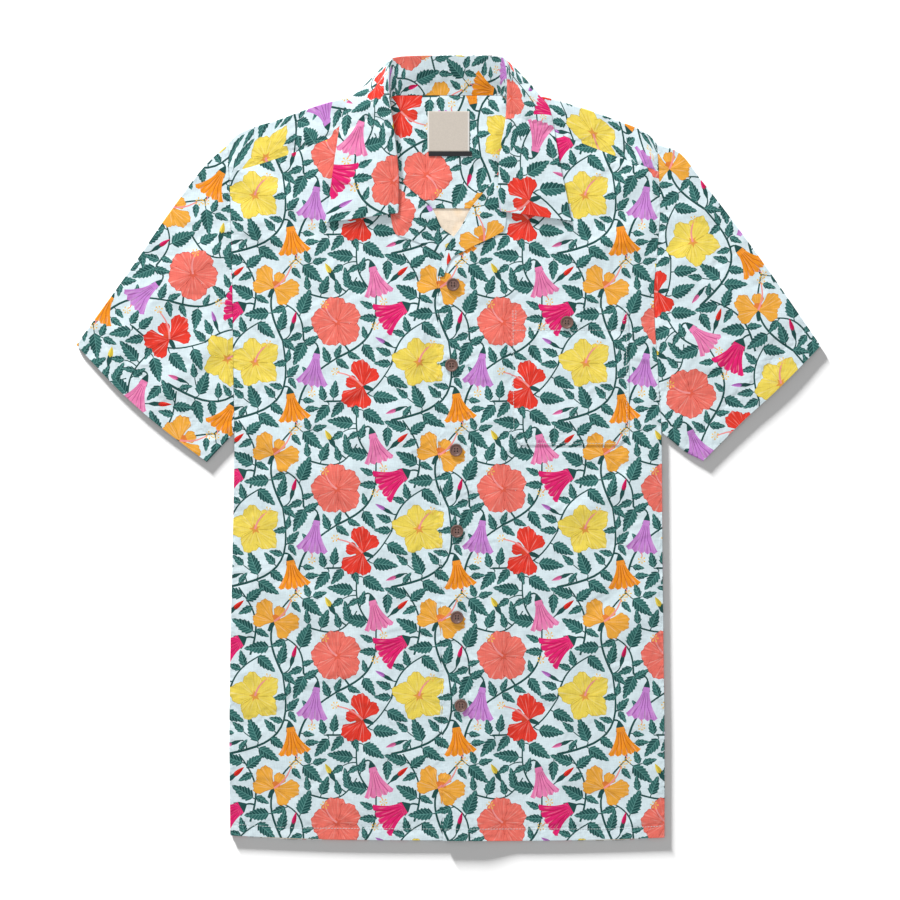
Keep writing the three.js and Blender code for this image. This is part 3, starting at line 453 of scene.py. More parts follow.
def leaf(length, width):
    """A toothed leaf with a drawn-out tip: each side bulges as a product of powers and carries teeth that point
    to the tip."""
    teeth = int(np.clip(length / 4.3, 3, 6))
    k = np.arange(teeth) / teeth
    low, high = 0.06 + 0.86 * k, 0.06 + 0.86 * (k + 0.80 / teeth)

    def bulge(t):
        return width / 2 * t**0.6 * (1 - t) ** 1.2 / 0.329

    tooth = 0.16 * width * (1 - 0.45 * high)
    side = np.stack([np.stack([low, bulge(low)], 1), np.stack([high, bulge(high) + tooth], 1)], 1).reshape(-1, 2)
    return np.concatenate([[(0, 0)], side, [(1, 0)], (side * [1, -1])[::-1]]) * [length, 1]


# shape, x, y, turn, sizes, ink
FLOWERS = [
    (open_flower, 35, 103, 100, (26.0, 0.0), "coral"),
    (open_flower, 121, 61, 30, (27.0, 1.2), "yellow"),
    (side_flower, 62, 36, 160, (27.0, 0.0), "red"),
    (side_flower, 141, 139, 60, (26.0, 0.0), "golden"),
    (bell, 106, 119, -150, (31, 39, 0.17), "magenta"),
    (bell, 72, 161, -75, (32, 32, 0.12), "pink"),
    (bell, 14, 70, -100, (35, 34, 0.10), "lilac"),
    (bell, 158, 28, -80, (30, 35, 0.12), "orange"),
]
# ink, x, y, turn, length, width
BUDS = [
    ("red", 96, 150, 40, 18, 5.0), ("yellow", 30, 152, 120, 15, 5.6), ("lilac", 88, 80, 150, 15, 4.2),
    ("magenta", 160, 98, 75, 17, 4.6), ("pink", 100, 12, 200, 15, 4.2),
]
# start x and y, end x and y, bend, width, leaves, side of the first leaf
VINES = [
    (-8, -6, 36, 66, 0.16, 2.6, 4, 1), (36, 66, 76, 130, -0.20, 2.4, 4, -1), (76, 130, 56, 186, 0.14, 2.1, 3, 1),
    (24, 20, 92, 58, -0.18, 2.0, 4, 1), (92, 0, 150, 84, -0.30, 2.6, 5, 1), (150, 84, 164, 169, 0.22, 2.4, 4, -1),
    (92, 58, 128, 104, 0.14, 2.0, 3, 1), (0, 84, -28, 126, -0.2, 2.0, 3, 1), (116, 104, 104, 175, -0.16, 2.2, 4, -1),
    (8, 132, 56, 150, -0.24, 1.9, 3, 1),
]


def toward(place, others):
    """The steps from a place to others, the short way round the repeat."""
    step = np.asarray(others) - place
    return step - TILE * np.round(step / TILE)


def twig(start, back, stems, width):
    """A stalk that leaves a place in a direction and bends to the nearest stem, with the points along it."""
    steps = toward(start, stems)
    goal = start + steps[np.argmin(np.hypot(*steps.T))]
    reach = np.linalg.norm(goal - start)
    t = even(6)[:, None]
    mid = start + back * 0.5 * reach
    line = (1 - t) ** 2 * start + 2 * t * (1 - t) * mid + t**2 * goal
    return ("vine", PLAIN, brush(line, width, width * 1.25), (0.0, 0.0), 0.0), line


def tile_shapes():
    """All shapes of one repeat from the bottom up, each with its ink, kind, outline, and its own origin and turn.
    Vines and flowers are placed by the tables. Leaves grow along the vines where they have room, and then one
    more fills the widest gap, on a twig from the nearest stem, until no wide gap is left."""
    low, mid, top = [], [], []
    lines = [bowed(v[0:2], v[2:4], v[4], 14) for v in VINES]
    stems = np.concatenate(lines)
    for ink, x, y, turn, length, width in BUDS:
        top += [(n, k, turned(p, turn, (x, y)), (x, y), turn) for n, k, p in bud(ink, length, width)]
        low.append(twig(np.array([x, y]) - 6 * heading(turn), -heading(turn), stems, 1.2)[0])
    for i, (shape, x, y, turn, measures, ink) in enumerate(FLOWERS):
        top += [(n, k, turned(p, turn, (x, y)), (x, y), turn) for n, k, p in shape(ink, *measures, 1.3 * i)]
        low.append(twig(np.array([x, y]) - 5 * heading(turn), -heading(turn), stems, 1.6)[0])
    taken = np.concatenate([lerp(s[2].mean(0), s[2], f) for s in top for f in (1.0, 0.6, 0.25)])

    def grow(base, turn, length, width):
        shape = turned(leaf(length, width), turn, base)
        mid.append(("leaf", LEAF, shape, tuple(base), turn))
        return np.concatenate([shape, base + heading(turn) * length * even(5)[:, None]])

    for i, (vine, line) in enumerate(zip(VINES, lines)):
        low.append(("vine", PLAIN, brush(line, vine[5], vine[5] * 0.65), (0.0, 0.0), 0.0))
        ahead = np.gradient(line, axis=0)
        side = vine[7]
        for k in range(vine[6]):
            spot = int((k + 0.5) / vine[6] * 13)
            best = None
            for tilt in (38, 52, 66, 82):
                turn = np.degrees(np.arctan2(*ahead[spot][::-1])) + side * tilt
                room = np.hypot(*toward(line[spot] + heading(turn) * 15, taken).T).min()
                if best is None or room > best[0]:
                    best = (room, turn)
            room, turn = best
            length = min(2.5 * room, 28 - 3 * np.sin(2.1 * k + i) ** 2)
            side = -side
            if length < 12:
                continue
            base = line[spot] + heading(turn) * 3.2
            stalk = np.stack([line[spot], base + heading(turn) * 1.5])
            low.append(("vine", PLAIN, brush(stalk, 1.3, 1.0), (0.0, 0.0), 0.0))
            taken = np.concatenate([taken, grow(base, turn, length, length * (0.45 + 0.04 * np.sin(k + i)))])
    taken = np.concatenate([taken, stems])
    spots = np.stack(np.meshgrid(even(44)[:-1] * TILE[0], even(45)[:-1] * TILE[1]), -1).reshape(-1, 2)
    room = np.min([np.hypot(*toward(p, spots).T) for p in taken], 0)
    for k in range(60):
        spot = int(np.argmax(room))
        if room[spot] < 5.0:
            break
        steps = toward(spots[spot], stems)
        turn = np.degrees(np.arctan2(*(-steps[np.argmin(np.hypot(*steps.T))])[::-1])) + 28 * np.sin(1.7 * k)
        length = min(2.35 * room[spot] + 2, 27)
        base = spots[spot] - heading(turn) * length * 0.42
        low_shape, line = twig(base, -heading(turn), stems, 1.0)
        low.append(low_shape)
        added = np.concatenate([grow(base, turn, length, length * 0.44), line])
        stems = np.concatenate([stems, line])
        room = np.min([room, *[np.hypot(*toward(p, spots).T) for p in added]], 0)
    return low + mid + top


PRINT = tile_shapes()


def doubled_area(points):
    """Twice the signed area of a plan polygon."""
    x, y = points.T
    return np.dot(x, np.roll(y, -1)) - np.dot(np.roll(x, -1), y)


def linear(colour):
    """A screen colour of 0 to 255 as linear light."""
    c = np.array(colour, float) / 255
    return tuple(np.where(c <= 0.04045, c / 12.92, ((c + 0.055) / 1.055) ** 2.4))


def ink_colour(name):
    """An ink's colour: the base ink, a deeper line tone of it, or its deep throat tone."""
    base, _, tone = name.partition("_")
    colour = np.array(getattr(bpy.context.scene.shirt_inks, base))
    if tone == "line":
        return colour**1.3 * 0.72
    if tone == "deep":
        return lerp(colour, np.array([0.72, 0.08, 0.03]), 0.6)
    return colour


# Cuts and cloth


def inside(points, ring):
    """Whether each point lies in a closed ring: a ray from it crosses the ring an odd number of times."""
    a, b = ring, np.roll(ring, -1, axis=0)
    rise = np.where(a[:, 1] == b[:, 1], 1.0, b[:, 1] - a[:, 1])
    slope = (b[:, 0] - a[:, 0]) / rise

    def odd(block):
        x, y = block[:, :1], block[:, 1:]
        spans = (a[:, 1] > y) != (b[:, 1] > y)
        return (spans & (x < slope * (y - a[:, 1]) + a[:, 0])).sum(1) % 2 == 1

    return np.concatenate([odd(block) for block in np.array_split(points, len(points) // 4000 + 1)])


def triangles(rings, lines, grid):
    """A constrained triangulation of closed rings, open lines and loose points, with all triangles turned the
    same way."""
    edges, at = [], 0
    for path, closed in [(r, True) for r in rings] + [(line, False) for line in lines]:
        k = at + np.arange(len(path))
        edges.append(np.stack([k, np.roll(k, -1)], 1)[: None if closed else -1])
        at += len(path)
    points = [Vector(p) for p in np.concatenate([*rings, *lines, grid])]
    made = delaunay_2d_cdt(points, np.concatenate(edges).tolist(), [], 0, 1e-4, False)
    places, tris = np.array([(v.x, v.y) for v in made[0]]), np.array(made[2])
    a, b, c = places[tris].transpose(1, 0, 2)
    flip = (b[:, 0] - a[:, 0]) * (c[:, 1] - a[:, 1]) - (b[:, 1] - a[:, 1]) * (c[:, 0] - a[:, 0]) < 0
    tris[flip] = tris[flip][:, ::-1]
    return places, tris


def loose_points(ring, spacing, clear):
    """Grid points over a ring's box that lie further than clear from the ring's line."""
    low, high = ring.min(0), ring.max(0)
    axes = [np.arange(low[k] + spacing / 2, high[k], spacing) for k in (0, 1)]
    grid = np.stack(np.meshgrid(*axes), -1).reshape(-1, 2)
    return grid[line_distance(*grid.T, ring, True) > clear]


def anticlockwise(ring):
    """The ring, turned round where it runs clockwise."""
    return ring if doubled_area(ring) > 0 else ring[::-1]


def repeats(outline, grain):
    """The print's rings that meet an outline's box, each with its shape's index and its repeat's place."""
    low, high = outline.min(0), outline.max(0)
    turn, dx, dy = grain
    corners = np.array([(x, y) for x in (low[0], high[0]) for y in (low[1], high[1])])
    in_print = turned(corners - [dx, dy], -turn)
    first = np.floor(in_print.min(0) / TILE).astype(int) - 1
    last = np.floor(in_print.max(0) / TILE).astype(int) + 1
    found = []
    for index, shape in enumerate(PRINT):
        for i in range(first[0], last[0] + 1):
            for j in range(first[1], last[1] + 1):
                ring = turned(shape[2] + TILE * [i, j], turn, (dx, dy))
                if (ring.max(0) > low).all() and (ring.min(0) < high).all():
                    found.append((anticlockwise(ring), index, TILE * [i, j]))
    return found


def topmost(rings, middle):
    """The last ring over each place, or -1 where the first ring, which bounds them all, isn't over it."""
    order = np.argsort(middle[:, 1])
    sorted_y = middle[order, 1]
    top = np.full(len(middle), -1)
    for k, ring in enumerate(rings):
        (left, foot), (right, head) = ring.min(0), ring.max(0)
        near = order[np.searchsorted(sorted_y, foot):np.searchsorted(sorted_y, head)]
        near = near[(middle[near, 0] > left) & (middle[near, 0] < right)]
        hit = near[inside(middle[near], ring)]
        top[hit] = np.where((top[hit] >= 0) | (k == 0), k, -1)
    return top


def cut(outline, grain, lines=(), spacing=9.0):
    """Cuts a flat outline into triangles, with the print's shapes inlaid. grain is the print's turn and offset.
    The repeat is laid over the outline's box, and the constrained triangulation follows every shape's edge,
    each line, and a grid of points. Each triangle takes the topmost shape over it."""
    outline = anticlockwise(outline)
    rings, owner, moves = zip((outline, -1, np.zeros(2)), *repeats(outline, grain))
    places, tris = triangles(rings, lines, loose_points(outline, spacing, 1.5))
    top = topmost(rings, places[tris].mean(1))
    used, tris = np.unique(tris[top >= 0], return_inverse=True)
    tris, places, top = tris.reshape(-1, 3), places[used], top[top >= 0]
    shape = np.array(owner)[top]
    names, kinds, _, origins, turns = zip(*PRINT, ("ground", PLAIN, None, (0.0, 0.0), 0.0))
    turn, dx, dy = grain
    local = turned(places[tris] - [dx, dy], -turn) - np.array(moves)[top][:, None]
    local -= np.array(origins)[shape][:, None]
    angle = np.radians(np.array(turns))[shape][:, None]
    cos, sin = np.cos(angle), np.sin(angle)
    motif = np.stack([
        local[..., 0] * cos + local[..., 1] * sin, local[..., 1] * cos - local[..., 0] * sin,
        np.repeat(np.array(kinds, float)[shape][:, None], 3, 1),
    ], -1)
    colours = np.array([ink_colour(name) for name in names])
    return {"places": places, "tris": tris, "motif": motif, "ink": colours[shape], "lines": lines}


def boundary(tris):
    """The directed edges that only one triangle has."""
    edges = np.concatenate([tris[:, [0, 1]], tris[:, [1, 2]], tris[:, [2, 0]]])
    n = edges.max() + 1
    return edges[~np.isin(edges[:, 0] * n + edges[:, 1], edges[:, 1] * n + edges[:, 0])]


def edge_owner(tris, edges):
    """The triangle that each directed boundary edge belongs to."""
    n = tris.max() + 1
    keys = np.concatenate([tris[:, i] * n + tris[:, (i + 1) % 3] for i in range(3)])
    order = np.argsort(keys)
    return order[np.searchsorted(keys[order], edges[:, 0] * n + edges[:, 1])] % len(tris)


def reverse_side(made):
    """The cut's other side, which carries no print: larger triangles between the same boundary points. Gives the
    triangles and the points that are new."""
    places = made["places"]
    edges = boundary(made["tris"])
    follow = dict(edges.tolist())
    loop = [int(edges[0, 0])]
    while follow[loop[-1]] != loop[0]:
        loop.append(follow[loop[-1]])
    ring = places[loop]
    found, tris = triangles([ring], [line[1:-1] for line in made["lines"]], loose_points(ring, 11.0, 2.0))
    tris = tris[inside(found[tris].mean(1), ring)]
    index = np.full(len(found), -1)
    for start in range(0, len(found), 2000):
        gap = np.abs(found[start:start + 2000, None] - ring[None]).max(2)
        index[start:start + 2000] = np.where(gap.min(1) < 1e-4, np.array(loop)[gap.argmin(1)], -1)
    new = index < 0
    index[new] = len(places) + np.arange(new.sum())
    return index[tris], found[new]


def unit(v):
    """Vectors of length one."""
    return v / np.maximum(np.linalg.norm(v, axis=-1, keepdims=True), 1e-12)


def two_triangles(a, b, c, d):
    """The two triangles of each four-cornered face."""
    return np.concatenate([np.stack([a, b, c], 1), np.stack([a, c, d], 1)])


def normals_toward(line, target):
    """Unit normals of a plan line, each turned to the side on which the target lies."""
    d = np.gradient(line, axis=0)
    n = unit(np.stack([-d[:, 1], d[:, 0]], 1))
    return n * np.sign(np.sum(n * (target - line), 1))[:, None]


def surface_normals(surface, places):
    """Normals of a surface at places of its cut, from the surface's differences along both coordinates."""
    e = 0.05
    x, y = places.T
    return unit(np.cross(surface(x + e, y) - surface(x - e, y), surface(x, y + e) - surface(x, y - e)))


def face_maps(places, tris, box):
    """Map coordinates of each triangle's corners: the cut's box fitted into a box of the map."""
    low, high = places.min(0), places.max(0)
    x0, y0, x1, y1 = box
    return (places[tris] - low) / (high - low) * [x1 - x0, y1 - y0] + [x0, y0]


def map_strips(*ends):
    """Boxes of the map side by side, each from the last one's end to its own, with a margin round them."""
    starts = (0.0, *ends[:-1])
    return [(a + MAP_MARGIN, MAP_MARGIN, b - MAP_MARGIN, 1 - MAP_MARGIN) for a, b in zip(starts, ends)]


def unprinted(count):
    """The ink and the motif places of faces on the cloth's wrong side."""
    motif = np.zeros((count, 3, 3))
    motif[..., 2] = REVERSE
    return np.repeat([ink_colour("reverse")], count, 0), motif


def wall(made, surface, thickness, outer=1, both=False):
    """A closed wall of cloth on a surface: the cut moved by half the thickness to its printed side and to its
    other side along the normal, and a rounded rim between the two round the boundary. outer is 1 where the print
    faces along the normal. both prints the other side too."""
    tris, places = made["tris"], made["places"]
    rear, extra = (tris, places[:0]) if both else reverse_side(made)
    every = np.concatenate([places, extra])
    middle = surface(*every.T)
    normals = surface_normals(surface, every) * outer
    n = len(every)
    edges = boundary(tris)
    forward = unit(middle[edges[:, 1]] - middle[edges[:, 0]])
    out = np.zeros((n, 3))
    for end in (0, 1):
        np.add.at(out, edges[:, end], np.cross(forward, normals[edges[:, end]]) * outer)
    out = unit(out)
    rim = np.unique(edges)
    at_rim = np.zeros(n, int)
    at_rim[rim] = np.arange(len(rim)) + 2 * n
    half = thickness / 2
    points = np.concatenate([
        middle + normals * half, middle - normals * half, middle[rim] + out[rim] * thickness * RIM_BULGE,
    ])
    a, b = edges.T
    ra, rb = at_rim[a], at_rim[b]
    band = np.concatenate([two_triangles(b, a, ra, rb), two_triangles(rb, ra, a + n, b + n)])
    front_box, rear_box = map_strips(0.5 if both else 0.8, 1.0)
    maps = np.concatenate([
        face_maps(every, tris, front_box), face_maps(every, rear[:, ::-1], rear_box),
        face_maps(np.concatenate([every, every, every[rim]]), band, front_box),
    ])
    rear_ink, rear_motif = (made["ink"], made["motif"][:, ::-1]) if both else unprinted(len(rear))
    ink = np.concatenate([made["ink"], rear_ink, np.tile(made["ink"][edge_owner(tris, edges)], (4, 1))])
    motif = np.concatenate([made["motif"], rear_motif, np.zeros((len(band), 3, 3))])
    faces = np.concatenate([tris, rear[:, ::-1] + n, band])
    if outer < 0:
        faces, maps, motif = faces[:, ::-1], maps[:, ::-1], motif[:, ::-1]
    directions = np.concatenate([normals, -normals, out[rim]])
    return {"points": points, "directions": directions, "faces": faces, "ink": ink, "motif": motif, "map": maps}


def joined(parts):
    """Several meshes as one: points that fall together merge, and collapsed triangles and unused points go."""
    starts = np.cumsum([0] + [len(p["points"]) for p in parts])
    out = {k: np.concatenate([p[k] for p in parts]) for k in ("points", "directions", "ink", "motif", "map")}
    faces = np.concatenate([p["faces"] + s for p, s in zip(parts, starts)])
    keys = np.round(out["points"] / 1e-3).astype(np.int64)
    _, index, inverse = np.unique(keys, axis=0, return_index=True, return_inverse=True)
    inverse = inverse.reshape(-1)
    summed = np.zeros((len(index), 3))
    np.add.at(summed, inverse, out["directions"])
    faces = inverse[faces]
    good = (faces[:, 0] != faces[:, 1]) & (faces[:, 1] != faces[:, 2]) & (faces[:, 2] != faces[:, 0])
    used, faces = np.unique(faces[good], return_inverse=True)
    return {
        "points": out["points"][index][used], "directions": unit(summed)[used], "faces": faces.reshape(-1, 3),
        "ink": out["ink"][good], "motif": out["motif"][good], "map": out["map"][good],
    }


def put(name, points, faces, material, slot, node=None):
    """Makes an object of points in millimetres and faces of three or four corners, at the origin."""
    mesh = bpy.data.meshes.new(name)
    mesh.vertices.add(len(points))
    mesh.vertices.foreach_set("co", (np.asarray(points) * MM).astype(np.float32).ravel())
    sides = faces.shape[1]
    mesh.loops.add(faces.size)
    mesh.loops.foreach_set("vertex_index", faces.astype(np.int32).ravel())
    mesh.polygons.add(len(faces))
    mesh.polygons.foreach_set("loop_start", np.arange(0, faces.size, sides, dtype=np.int32))
    mesh.update(calc_edges=True)
    mesh.polygons.foreach_set("use_smooth", np.ones(len(faces), bool))
    mesh.materials.append(material)
    thing = bpy.data.objects.new(name, mesh)
    bpy.context.scene.collection.objects.link(thing)
    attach(thing, "root")
    if node:
        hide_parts(node)
    return thing


def put_cloth(name, made, node):
    """Makes a printed piece, with its inks, the places on its motifs, its map, its nearness to seams and its
    surface's own normals."""
    made = joined([made])
    thing = put(name, made["points"], made["faces"], printed_cotton(), "printed_cloth", node)
    mesh = thing.data
    ink = mesh.color_attributes.new("ink", "FLOAT_COLOR", "CORNER")
    rgba = np.concatenate([np.repeat(made["ink"], 3, 0), np.ones((len(made["ink"]) * 3, 1))], 1)
    ink.data.foreach_set("color", rgba.astype(np.float32).ravel())
    motif = mesh.attributes.new("motif", "FLOAT_VECTOR", "CORNER")
    motif.data.foreach_set("vector", made["motif"].astype(np.float32).ravel())
    pucker = mesh.attributes.new("pucker", "FLOAT", "POINT")
    x, y, _ = made["points"].T
    near = np.min([line_distance(x, y, seam) for seam in seams()], 0)
    pucker.data.foreach_set("value", np.exp(-((near / 5.0) ** 2)).astype(np.float32))
    layer = mesh.uv_layers.new(name="OFBake")
    layer.data.foreach_set("uv", np.clip(made["map"], 0, 1).astype(np.float32).ravel())
    mesh.normals_split_custom_set_from_vertices(made["directions"].astype(np.float32))
    return thing


def hem_stitch(side):
    """The hem's stitch line on one front, in plan."""
    x = lerp(-226.0, 24.0, even(60)) if side == "left" else lerp(-4.5, 223.5, even(60))
    return np.stack([x, through(HEM["x"], HEM["y"], x) + 12.0], 1)


def cuff_stitch(side):
    """A cuff's stitch line on the sleeve's upper layer, in plan."""
    line = curve(SLEEVE[side]["cuff"], even(50))
    d = np.gradient(line, axis=0)
    n = unit(np.stack([-d[:, 1], d[:, 0]], 1))
    n *= np.sign(np.sum(n * (np.array([0.0, 140.0]) - line), 1))[:, None]
    return (line + n * 24.0)[2:-2]


def pocket_stitch():
    """The pocket's stitch line down one side, along the foot and up the other, in plan."""
    y = lerp(146.0, 5.5, even(50))
    left, right = (through(POCKET["y"], POCKET[k], y) for k in ("left", "right"))
    down, up = np.stack([left + 2.0, y], 1), np.stack([right - 2.0, y], 1)[::-1]
    return np.concatenate([down, [(127.0, 6.2)], up])


def seams():
    """The seams and stitch lines beside which the cloth puckers, in plan."""
    y = lerp(-405.0, ARMHOLE_TOP_Y, even(60))
    lines = [np.stack([side_x(side, y), y], 1) for side in ("right", "left")]
    for rows in (FRONT_LEFT, FRONT_RIGHT):
        t = lerp(0, 0.36, even(20))
        lines.append(np.stack([column(rows, "edge_x", t), column(rows, "edge_y", t)], 1))
    lines += [hem_stitch("left"), hem_stitch("right"), cuff_stitch("left"), cuff_stitch("right"), pocket_stitch()]
    lines.append(np.array([(68.0, 124.5), (186.5, 124.5)]))
    lines += [np.array([(-226.0, 288.8), (-64.0, 350.0)]), np.array([(218.0, 290.9), (63.0, 352.0)])]
    return lines


def sizes():
    """The cloth's measures."""
    return bpy.context.scene.shirt_sizes


def ply():
    """The rise from one layer of cloth to the next."""
    return sizes().cloth + PLY_GAP


# Materials


class Finish:
    """A material being made. A number or a colour given for an input sets it, and a socket is linked to it."""

    def __init__(self, name):
        self.material = bpy.data.materials.new(name)
        self.material.use_nodes = True
        self.tree = self.material.node_tree
        self.place = self.node("TexCoord").outputs["Object"]

    def fill(self, node, inputs):
        """Sets or links a node's inputs."""
        for key, value in inputs.items():
            if isinstance(value, (int, float, tuple)):
                node.inputs[key].default_value = value
            else:
                self.tree.links.new(value, node.inputs[key])
        return node

    def node(self, kind, inputs=None, **settings):
        """A node of a kind with its settings and its inputs."""
        node = self.tree.nodes.new("ShaderNode" + kind)
        for key, value in settings.items():
            setattr(node, key, value)
        return self.fill(node, inputs or {})

    def maths(self, operation, *values, clamp=False):
        """The result of an operation on numbers and sockets."""
        return self.node("Math", dict(enumerate(values)), operation=operation, use_clamp=clamp).outputs[0]

    def excess(self, value, floor, gain, sign=1):
        """How far a value lies over a floor, or under it where sign is -1, times a gain and held to 0 to 1."""
        both = (value, floor) if sign > 0 else (floor, value)
        return self.maths("MULTIPLY", self.maths("SUBTRACT", *both), gain, clamp=True)

    def mix(self, share, a, b, kind="MIX"):
        """Colour b over colour a by a share."""
        return self.node("Mix", {0: share, 6: a, 7: b}, data_type="RGBA", blend_type=kind).outputs[2]

    def where(self, mask, share, strength, under, colour, kind="MIX"):
        """A colour laid over another by a share, at a strength and only where the mask is 1."""
        both = self.maths("MULTIPLY", self.maths("MULTIPLY", share, mask), strength)
        return self.mix(both, under, colour, kind)

    def noise(self, scale, detail=2.0, at=None, distortion=0.0):
        """A noise over the object's own space, or over the given places."""
        inputs = {"Scale": scale, "Detail": detail, "Distortion": distortion, "Vector": at or self.place}
        return self.node("TexNoise", inputs).outputs["Fac"]

    def relief(self, *layers):
        """Bumps one on another, each with its height, its depth in metres and its strength."""
        inputs = {}
        for height, depth, strength in layers:
            inputs.update({"Height": height, "Distance": depth, "Strength": strength})
            inputs["Normal"] = self.node("Bump", inputs).outputs[0]
        return inputs["Normal"]

    def finished(self, inputs):
        """The material, with its shader's inputs filled."""
        self.fill(self.tree.nodes["Principled BSDF"], inputs)
        return self.material


def once(make):
    """A finish that is made when it is first asked for, and given again after that."""
    def given(name, *values):
        return bpy.data.materials.get(name) or make(name, *values)

    return given


def toned(colour, share):
    """A colour lighter or darker by a share, with full cover."""
    return (*(min(c * share, 1) for c in colour), 1)


@once
def printed_material(name):
    """Plain-woven cotton that carries the print: the ink's colour, pale veins on leaves, fine streaks that run
    out along petals, a little unevenness, and the weave of warp and weft as relief."""
    f = Finish(name)
    m = f.maths
    inks = f.node("Attribute", attribute_name="ink").outputs["Color"]
    motif = f.node("Attribute", attribute_name="motif").outputs["Vector"]
    x, y, kind = f.node("SeparateXYZ", {0: motif}).outputs
    on_leaf, on_petal, on_reverse = (m("COMPARE", kind, float(one), 0.2) for one in (LEAF, PETAL, REVERSE))
    # leaves: a pale midrib, and side veins that slant to the tip at a fixed pace
    across = m("ABSOLUTE", y)
    slanted = m("DIVIDE", m("SUBTRACT", x, m("MULTIPLY", across, 0.9)), VEIN_PACE)
    off_vein = m("ABSOLUTE", m("SUBTRACT", m("FRACT", slanted), 0.5))
    side_vein = m("SUBTRACT", 1.0, m("MULTIPLY", off_vein, 7.5), clamp=True)
    midrib = m("SUBTRACT", 1.0, m("MULTIPLY", across, 2.2), clamp=True)
    colour = f.where(on_leaf, m("GREATER_THAN", y, 0.0), 0.45, inks, (0.045, 0.20, 0.18, 1))
    colour = f.where(on_leaf, m("MAXIMUM", side_vein, midrib), 0.85, colour, (0.17, 0.45, 0.41, 1))
    # petals: streaks that follow the angle about the flower's middle and fade at the rim
    reach = m("SQRT", m("ADD", m("MULTIPLY", x, x), m("MULTIPLY", y, y)))
    polar = {0: m("MULTIPLY", m("ARCTAN2", y, x), 11.0), 1: m("MULTIPLY", reach, 0.05)}
    streaks = f.noise(1.0, 1.0, f.node("CombineXYZ", polar).outputs[0])
    colour = f.where(on_petal, f.excess(streaks, 0.53, 5.0), 0.5, colour, (0.62, 0.45, 0.45, 1), "MULTIPLY")
    colour = f.where(on_petal, f.excess(streaks, 0.44, 5.0, -1), 0.34, colour, (1.0, 0.92, 0.85, 1))
    # the wrong side: the warm ground with faint blotches where the print shows through
    colour = f.where(on_reverse, f.excess(f.noise(55.0), 0.54, 6.0), 0.4, colour, (0.93, 0.64, 0.34, 1))
    # unevenness of the dyed cloth, in patches and along the yarns of warp and weft
    uneven = m("MULTIPLY", m("SUBTRACT", f.noise(130.0, 3.0), 0.5), 0.16)
    for scale in ((1100.0, 130.0, 1.0), (130.0, 1100.0, 1.0)):
        stretched = f.node("VectorMath", {0: f.place, 1: scale}, operation="MULTIPLY").outputs[0]
        yarns = f.noise(1.0, 1.0, stretched)
        uneven = m("ADD", uneven, m("MULTIPLY", m("SUBTRACT", yarns, 0.5), 0.22))
    tone = f.node("HueSaturation", {"Value": m("ADD", uneven, 1.0), "Color": colour}).outputs[0]
    # weave: threads along x and y, 0.5 mm apart
    position = f.node("SeparateXYZ", {0: f.place}).outputs
    warp, weft = (m("SINE", m("MULTIPLY", position[k], WEAVE_PACE)) for k in (0, 1))
    threads = m("ADD", m("MULTIPLY", m("MULTIPLY", warp, weft), 0.5), f.noise(900.0))
    # puckers beside the seams, and broad soft waves all over
    seam = f.node("Attribute", attribute_name="pucker").outputs["Fac"]
    puckers = m("MULTIPLY", seam, m("SUBTRACT", f.noise(170.0, 1.0), 0.9))
    waves = f.noise(26.0, 2.0, distortion=0.6)
    normal = f.relief((waves, 0.0058, 1.0), (puckers, 0.0022, 1.0), (threads, 0.00012, 0.35))
    return f.finished({
        "Base Color": tone, "Normal": normal, "Roughness": 0.86, "Specular IOR Level": 0.25, "Sheen Weight": 0.12,
        "Sheen Roughness": 0.5,
    })


def printed_cotton():
    """The shirt's printed cloth."""
    return printed_material("printed_cotton")


@once
def satin_button(name, colour):
    """Button: mottled with darker and lighter tones of its colour, with a satin surface."""
    f = Finish(name)
    mottled = f.mix(f.noise(380.0, 4.0), toned(colour, 0.45), toned(colour, 1.5))
    return f.finished({"Base Color": mottled, "Roughness": 0.42})


@once
def thread(name, colour):
    """Twisted thread: fine slanting ridges on its colour."""
    f = Finish(name)
    ridges = f.node("TexWave", {"Scale": 900.0, "Vector": f.place}, bands_direction="DIAGONAL").outputs["Fac"]
    tone = f.mix(f.maths("MULTIPLY", ridges, 0.5), toned(colour, 1), toned(colour, 0.8))
    return f.finished({"Base Color": tone, "Roughness": 0.7})


@once
def woven_label(name, colour, selvage):
    """Woven label: a close satin of cross threads, a little uneven, and paler beyond the selvage's distance from
    the middle in metres."""
    f = Finish(name)
    position = f.node("SeparateXYZ", {0: f.place}).outputs
    cross = f.maths("SINE", f.maths("MULTIPLY", position[1], 15000.0))
    mixed = f.maths("ADD", f.maths("MULTIPLY", cross, 0.15), f.noise(700.0))
    woven = f.mix(mixed, toned(colour, 0.82), toned(colour, 1))
    at_edge = f.maths("GREATER_THAN", f.maths("ABSOLUTE", position[0]), selvage)
    return f.finished({
        "Base Color": f.mix(at_edge, woven, (0.80, 0.78, 0.75, 1)), "Normal": f.relief((mixed, 0.0001, 0.4)),
        "Roughness": 0.75,
    })


# Settings


def length_property(name, description, default):
    """A length in millimetres."""
    return bpy.props.FloatProperty(name=name, description=description, default=default, min=0.0, unit="NONE")


def colour_property(name, description, screen):
    """A colour given as it looks on a screen, 0 to 255."""
    return bpy.props.FloatVectorProperty(
        name=name, description=description, default=linear(screen), subtype="COLOR", size=3, min=0.0, max=1.0
    )


class ShirtSizes(bpy.types.PropertyGroup):
    """Measures of the cloth, in millimetres."""

    cloth: length_property("Cloth", "Wall of each cloth piece in mm", 1.0)
    collar: length_property("Collar", "Wall of the collar in mm", 1.2)
    label: length_property("Label", "Wall of the neck label in mm", 0.8)
    air: length_property("Sleeve air", "Extra height between a sleeve's layers at its cuff in mm", 0.7)
    button: length_property("Button", "Radius of a button in mm", 6.75)
    button_height: length_property("Button height", "Height of a button in mm", 2.8)
    stitch: length_property("Stitch", "Length of a stitch in mm", 2.4)


